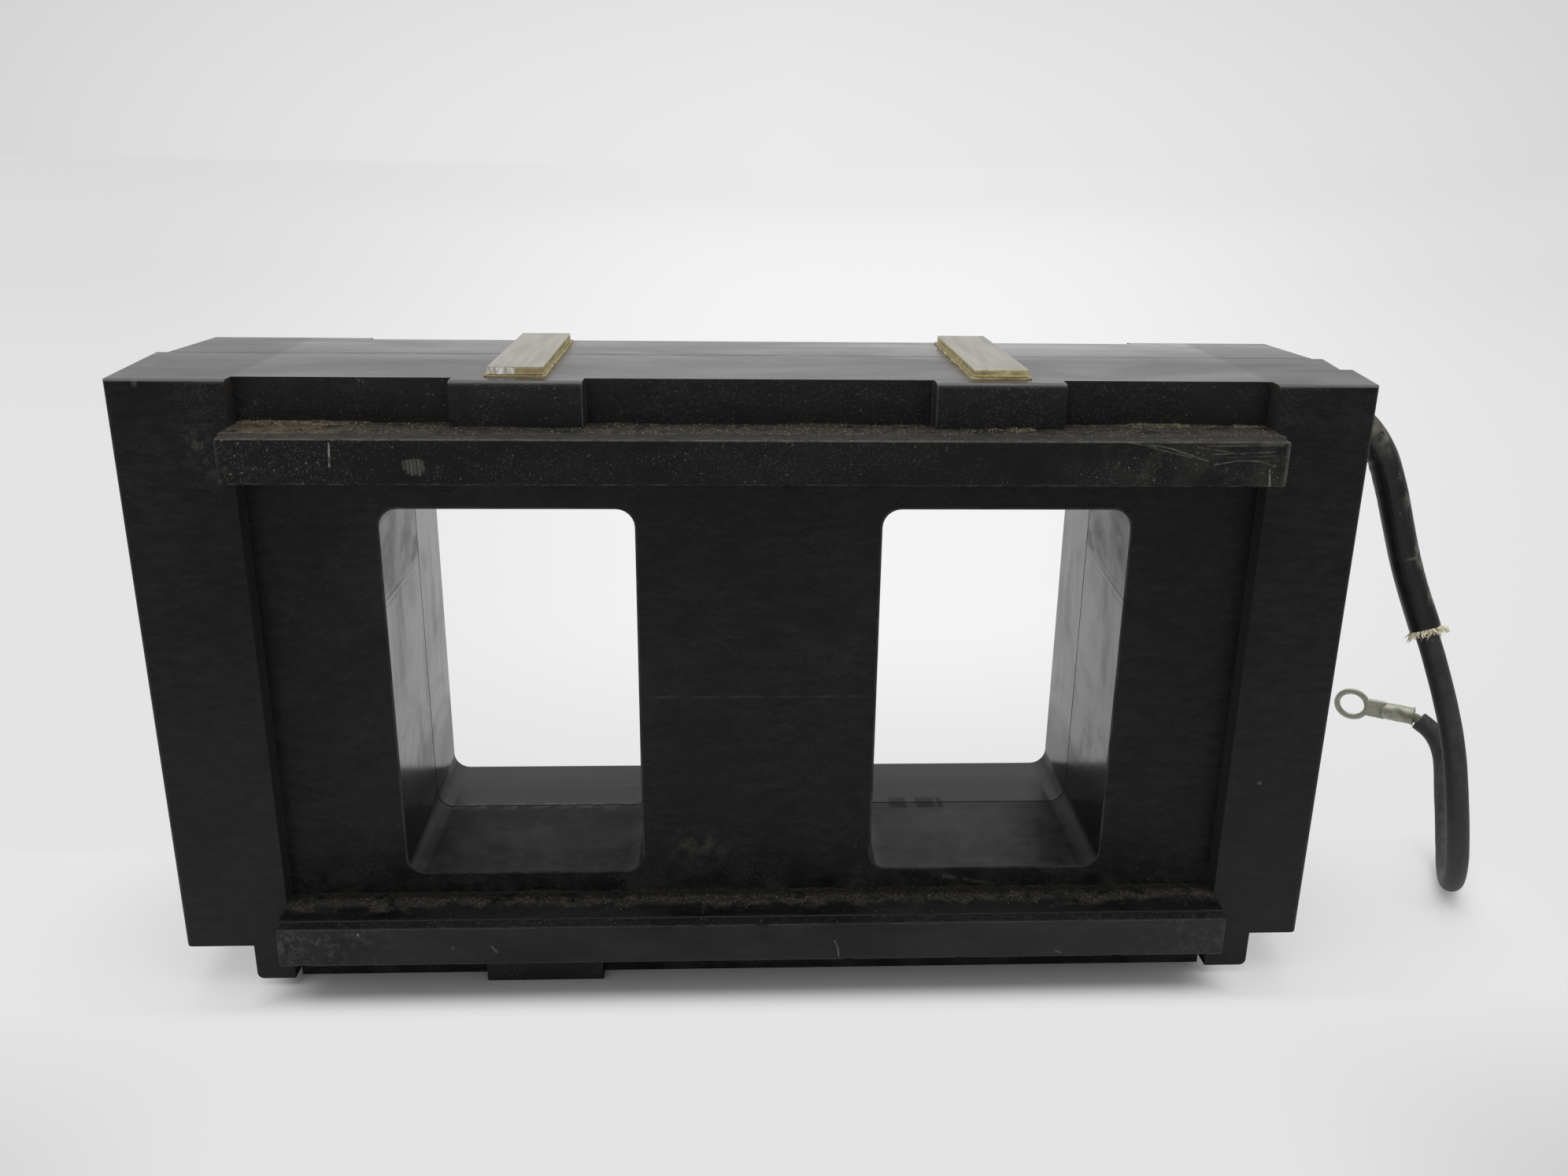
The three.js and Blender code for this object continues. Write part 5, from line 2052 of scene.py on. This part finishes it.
@dataclass
class FlyingLead:
    """The lead from its bush to its ring terminal, in real sizes."""

    route: tuple[Point3, ...] = (
        (0.12574, 0.02097, 0.12150),
        (0.13414, 0.02087, 0.12100),
        (0.14164, 0.02017, 0.11729),
        (0.14694, 0.01917, 0.11090),
        (0.14994, 0.01787, 0.10320),
        (0.15204, 0.01617, 0.09510),
        (0.15394, 0.01397, 0.08720),
        (0.15614, 0.01137, 0.07940),
        (0.15854, 0.00847, 0.07179),
        (0.16084, 0.00557, 0.06420),
        (0.16284, 0.00267, 0.05650),
        (0.16454, -0.00003, 0.04870),
        (0.16584, -0.00223, 0.04060),
        (0.16694, -0.00373, 0.03230),
        (0.16834, -0.00423, 0.02400),
        (0.17024, -0.00313, 0.01590),
        (0.17264, 0.00047, 0.00879),
        (0.17574, 0.00667, 0.00410),
        (0.17924, 0.01417, 0.00280),
        (0.18244, 0.02147, 0.00519),
        (0.18474, 0.02787, 0.01030),
        (0.18584, 0.03217, 0.01540),
        (0.18694, 0.03627, 0.02070),
        (0.18714, 0.03847, 0.02360),
        (0.18654, 0.04067, 0.02650),
        (0.18494, 0.04267, 0.02900),
        (0.18244, 0.04447, 0.03090),
    )
    diameter: float = 0.0052
    sleeve_share: float = 13 / 37
    sleeve_radius: float = 0.00345
    sleeve_bore: float = 0.0029
    strands: int = 150
    strand_start: Point2 = (0.0030, 0.0034)
    strand_reach: float = 0.0048

    def __post_init__(self) -> None:
        """Lay out the centre line."""
        self.spline = Spline(self.route)

    def build(self) -> None:
        wire = self._wire()
        sleeve = self._sleeve()
        liner = self._liner()
        place, way, _ = self.spline.at(1.0)
        terminal = RingEnd().build(place, way)
        report(wire, ["lead_wire"])
        report(sleeve, ["lead_sleeve"])
        report(liner, ["sleeve_liner_end"])
        report(terminal, ["ring_terminal"])
        self.spline.length
        [tuple(frame[0]) for frame in self.spline.frames[::6]]
        LOG.info("lead is %.1f mm long", self.spline.length * 1000)

    def _wire(self) -> bpy.types.Object:
        """Sweep the insulated wire."""
        finish = LeadRubber("lead_skin")
        return tube("lead", self.spline, (0.0, 1.0), 420, 28, self._wire_radius).finished(finish)

    def _wire_radius(self, along: float, angle: float, inward: float) -> float:
        """Return the wire's slightly uneven radius, whatever the turning inward."""
        wave = noise.noise(Vector((math.cos(angle) * 0.7, math.sin(angle) * 0.7, along * 260)))
        return self.diameter / 2 - 0.00004 + 0.00004 * wave

    def _sleeve(self) -> bpy.types.Object:
        """Sweep the thick sleeve, creased on the inside of its bend."""
        finish = LeadRubber(
            "varnished_sleeve", body=(0.0070, 0.0074, 0.0080), carriers=12, pick=0.0030,
            depth=0.00016, gloss=0.40, coat=0.14, grime_and_sheen=0.5, soiled_to=0.029,
        )
        shares = (0.0002 / self.spline.length, self.sleeve_share - 0.0006 / self.spline.length)
        swept = tube("sleeve", self.spline, shares, 190, 40, self._sleeve_radius, self.sleeve_bore)
        return swept.finished(finish)

    def _sleeve_radius(self, along: float, angle: float, inward: float) -> float:
        """Measure the sleeve outside, creased in its bend and ragged at its end.

        Args:
            along: The distance along it.
            angle: The angle round it.
            inward: The turning towards that angle.

        Returns:
            The radius there.
        """
        end = self.sleeve_share * self.spline.length
        crease = max(0.0, inward) / 40 * math.sin(along * math.tau / 0.0031)
        wave = noise.noise(Vector((math.cos(angle), math.sin(angle), along * 75)))
        ragged = max(0.0, (along - end + 0.0012) / 0.0012) * 0.00015
        return self.sleeve_radius + 0.00002 + 0.00010 * crease + 0.00016 * wave - ragged

    def _liner(self) -> bpy.types.Object:
        """Scatter torn strands round the sleeve's end."""
        chance = random.Random(5)
        place, way, side = self.spline.at(self.sleeve_share)
        over = way.cross(side)
        shape = Shape("frayed_liner")
        for number in range(self.strands):
            angle = math.tau * (number + chance.uniform(-0.4, 0.4)) / self.strands
            out = side * math.cos(angle) + over * math.sin(angle)
            round_it = way.cross(out)
            start = chance.uniform(*self.strand_start)
            long = chance.uniform(0.0014, 0.0030)
            flare = chance.uniform(0.15, 1.0)
            twist = chance.uniform(-0.6, 0.6)
            thick = chance.uniform(0.00010, 0.00020)
            rings = []
            for step in range(6):
                t = step / 5
                radius = min(self.strand_reach, start + long * flare * t * (0.5 + 0.5 * t))
                centre = (
                    place
                    + out * radius
                    + way * (-0.0007 + min(0.0029, long * (1 - 0.5 * flare)) * t)
                    + round_it * (long * twist * t * t)
                )
                rings.append([
                    centre + (out * math.cos(a) + round_it * math.sin(a)) * thick * (1 - 0.5 * t)
                    for a in (0.0, math.tau / 4, math.tau / 2, 3 * math.tau / 4)
                ])
            shape.loft(rings)
        return shape.finished(GlassYarn("glass_yarn"))


@dataclass
class ExitBush:
    """The rubber bush that the lead leaves the block through."""

    bore: float = 0.0028
    body: float = 0.0045
    lip: float = 0.0052

    def build(self) -> None:
        """Turn the bush from its node's box, with rounded lips."""
        low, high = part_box("lead_bush")
        y, z = (low.y + high.y) / 2, (low.z + high.z) / 2
        flange = (high.z - low.z) / 2
        length = high.x - low.x
        bore, body, lip = self.bore, self.body, self.lip
        profile = [
            (bore, 0.0), (body - 0.0002, 0.0), (body, 0.0002), (lip, 0.0014), (lip - 0.0001, 0.0016),
            (body, 0.0016), (body, length - 0.0020), (flange - 0.0003, length - 0.0018),
            (flange, length - 0.0015), (flange, length - 0.0009), (flange - 0.0004, length - 0.0006),
            (body, length - 0.0001), (body - 0.0004, length),
            (bore + 0.0002, length), (bore, length - 0.0002),
        ]
        rings = []
        for index in range(64):
            angle = math.tau * index / 64
            rings.append([
                Vector((low.x + x, y + r * math.cos(angle), z + r * math.sin(angle))) for r, x in profile
            ])
        shape = Shape("exit_bush")
        shape.loft(rings, closed=True)
        report(shape.finished(BushRubber("bush_rubber")), ["lead_bush"])


# Studio


@dataclass(frozen=True)
class Paper(Finish):
    """The pale surface that the block stands on: it shows its shadow, and beyond that a set tone with
    painted light in it.
    """

    sheet: Colour = (0.72, 0.72, 0.72)
    tint: Colour = (1.0, 0.997, 1.0)

    def paint(self, graph: Graph) -> None:
        """Paint a lit sheet by the block that turns into a bright one round it, with painted light in its
        tone.

        Args:
            graph: The graph to fill.
        """
        x, y, _ = graph.axes
        lit = graph.node("ShaderNodeBsdfDiffuse", sockets={"Color": self.sheet})
        tone = self._tone_with_painted_light(x, y)
        plain = graph.node("ShaderNodeEmission", sockets={"Color": graph.shade(self.tint, tone)})
        seen, _ = graph.sight()
        beside = (abs(x) - 0.099).rise(0.0, 0.010) * 0.55 + (abs(x) - 0.152).rise(0.0, 0.06) * 0.45
        bare = (abs(y) - 0.0270).rise(0.0, 0.011).most(beside)
        loop = (x - 0.178).span(y - 0.012).rise(0.004, 0.022, 0.35, 1.0)
        shader = graph.node("ShaderNodeMixShader", sockets={0: seen * bare * loop, 1: lit, 2: plain})
        graph.node("ShaderNodeOutputMaterial", sockets={"Surface": shader})

    @staticmethod
    def _tone_with_painted_light(x: Signal, y: Signal) -> Signal:
        """Work out the sheet's brightness as painted light: highest behind the block and lower round it.

        Args:
            x: The place across.
            y: The place in depth.

        Returns:
            The brightness, with 1 as white.
        """
        outer = 0.775 - 0.055 * y.rise(0.3, 1.8) - 0.02 * y.rise(2.0, 8.0)
        # Painted shade at the sides in front of the block, and below a painted pool of light behind it.
        outer = outer - 0.17 * abs(x).rise(0.09, 0.16) * y.fall(-0.11, -0.03)
        centre = 0.905 - 0.080 * y.rise(0.8, 5.0)
        bump = y.rise(0.03, 0.22) * abs(x / (y + 0.3).most(0.05) - 0.10).fall(0.04, 0.58)
        return outer + bump * (centre - outer)


@dataclass
class Studio:
    """Floor, backdrop, soft lamps and the camera."""

    place: Point3 = (-0.00521, -0.27674, 0.17693)
    right: Point3 = (0.99907005, -0.04133255, 0.01227399)
    up: Point3 = (0.00151674, 0.31818523, 0.94802735)
    lens: float = 30.3228
    ambient: float = 0.6
    horizon: float = 0.826

    def build(self) -> None:
        """Set the camera first, then the floor, the world and the lamps."""
        self._camera()
        self._floor()
        self._world()
        self._lamp("overhead", (0.0, 0.05, 1.15), (0.0, 0.0, 0.0), 1.5, 14.0)
        self._lamp("front_fill", (-0.3, -1.3, 0.9), (0.0, 0.0, 0.06), 1.2, 2.0)
        bpy.context.scene.view_settings.view_transform = "Standard"

    def _camera(self) -> None:
        """Stand the camera where the picture was taken from."""
        data = bpy.data.cameras.new("camera")
        data.sensor_fit = "HORIZONTAL"
        data.sensor_width = 36.0
        data.lens = self.lens
        data.clip_start, data.clip_end = 0.01, 50.0
        camera = bpy.data.objects.new("camera", data)
        right, up = Vector(self.right).normalized(), Vector(self.up).normalized()
        turn = Matrix((right, up, right.cross(up))).transposed()
        camera.matrix_world = Matrix.Translation(self.place) @ turn.to_4x4()
        bpy.context.scene.collection.objects.link(camera)
        bpy.context.scene.camera = camera

    @staticmethod
    def _floor() -> None:
        """Lay a wide floor just under the block."""
        shape = Shape("floor")
        half, low = 12.0, -0.00002
        outline = [(-half, -half), (half, -half), (half, half), (-half, half)]
        shape.face(shape.ring([Vector((x, y, low)) for x, y in outline]))
        shape.finished(Paper("paper"))

    def _world(self) -> None:
        """Light the scene evenly, and show a plain pale backdrop behind it."""
        world = bpy.data.worlds.new("studio")
        world.use_nodes = True
        graph = Graph(world.node_tree)
        across, ahead, up = graph.split(graph.node("ShaderNodeTexCoord", output="Generated"))
        seen, mirrored = graph.sight()
        tone = up.rise(-0.02, 0.30, self.horizon, self.horizon - 0.16)
        off = abs(across - 0.045)
        tone = tone * (1 - 0.15 * off - 0.8 * off ** 3.0).most(0.7)
        tone = tone * (1 - 0.7 * mirrored * ahead.fall(-0.3, 0.3))
        colour = graph.shade((1.0, 0.998, 1.0), tone)
        shown = graph.node("ShaderNodeBackground", sockets={"Color": colour, "Strength": 1.0})
        sockets = {"Color": (1.0, 1.0, 1.0), "Strength": self.ambient}
        light = graph.node("ShaderNodeBackground", sockets=sockets)
        shader = graph.node("ShaderNodeMixShader", sockets={0: seen, 1: light, 2: shown})
        graph.node("ShaderNodeOutputWorld", sockets={"Surface": shader})
        bpy.context.scene.world = world

    @staticmethod
    def _lamp(name: str, place: Point3, aim: Point3, size: float, power: float) -> None:
        """Hang one square soft lamp.

        Args:
            name: Its name.
            place: Where it hangs.
            aim: The point that it faces.
            size: Its side in metres.
            power: Its power in watts.
        """
        data = bpy.data.lights.new(name, "AREA")
        data.size = size
        data.energy = power
        lamp = bpy.data.objects.new(name, data)
        lamp.location = place
        way = Vector(aim) - Vector(place)
        lamp.rotation_euler = way.to_track_quat("-Z", "Y").to_euler()
        bpy.context.scene.collection.objects.link(lamp)


def corners(bounds: tuple[Vector, Vector]) -> list[list[float]]:
    """Return a box's two corners as plain lists."""
    return [[float(number) for number in corner] for corner in bounds]


def main() -> None:
    """Build the scene in order."""
    logging.basicConfig(level=logging.INFO, format="%(message)s")
    for start_object in list(bpy.data.objects):
        bpy.data.objects.remove(start_object)
    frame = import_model()
    Studio().build()
    FlyingLead().build()
    ExitBush().build()
    Housing(frame).build()
    FrontBars().build()
    ShimPair().build()
    CoilSet(frame).dress()
    LedgeDirt().build()
    bpy.context.view_layer.update()


if __name__ == "__main__":
    main()
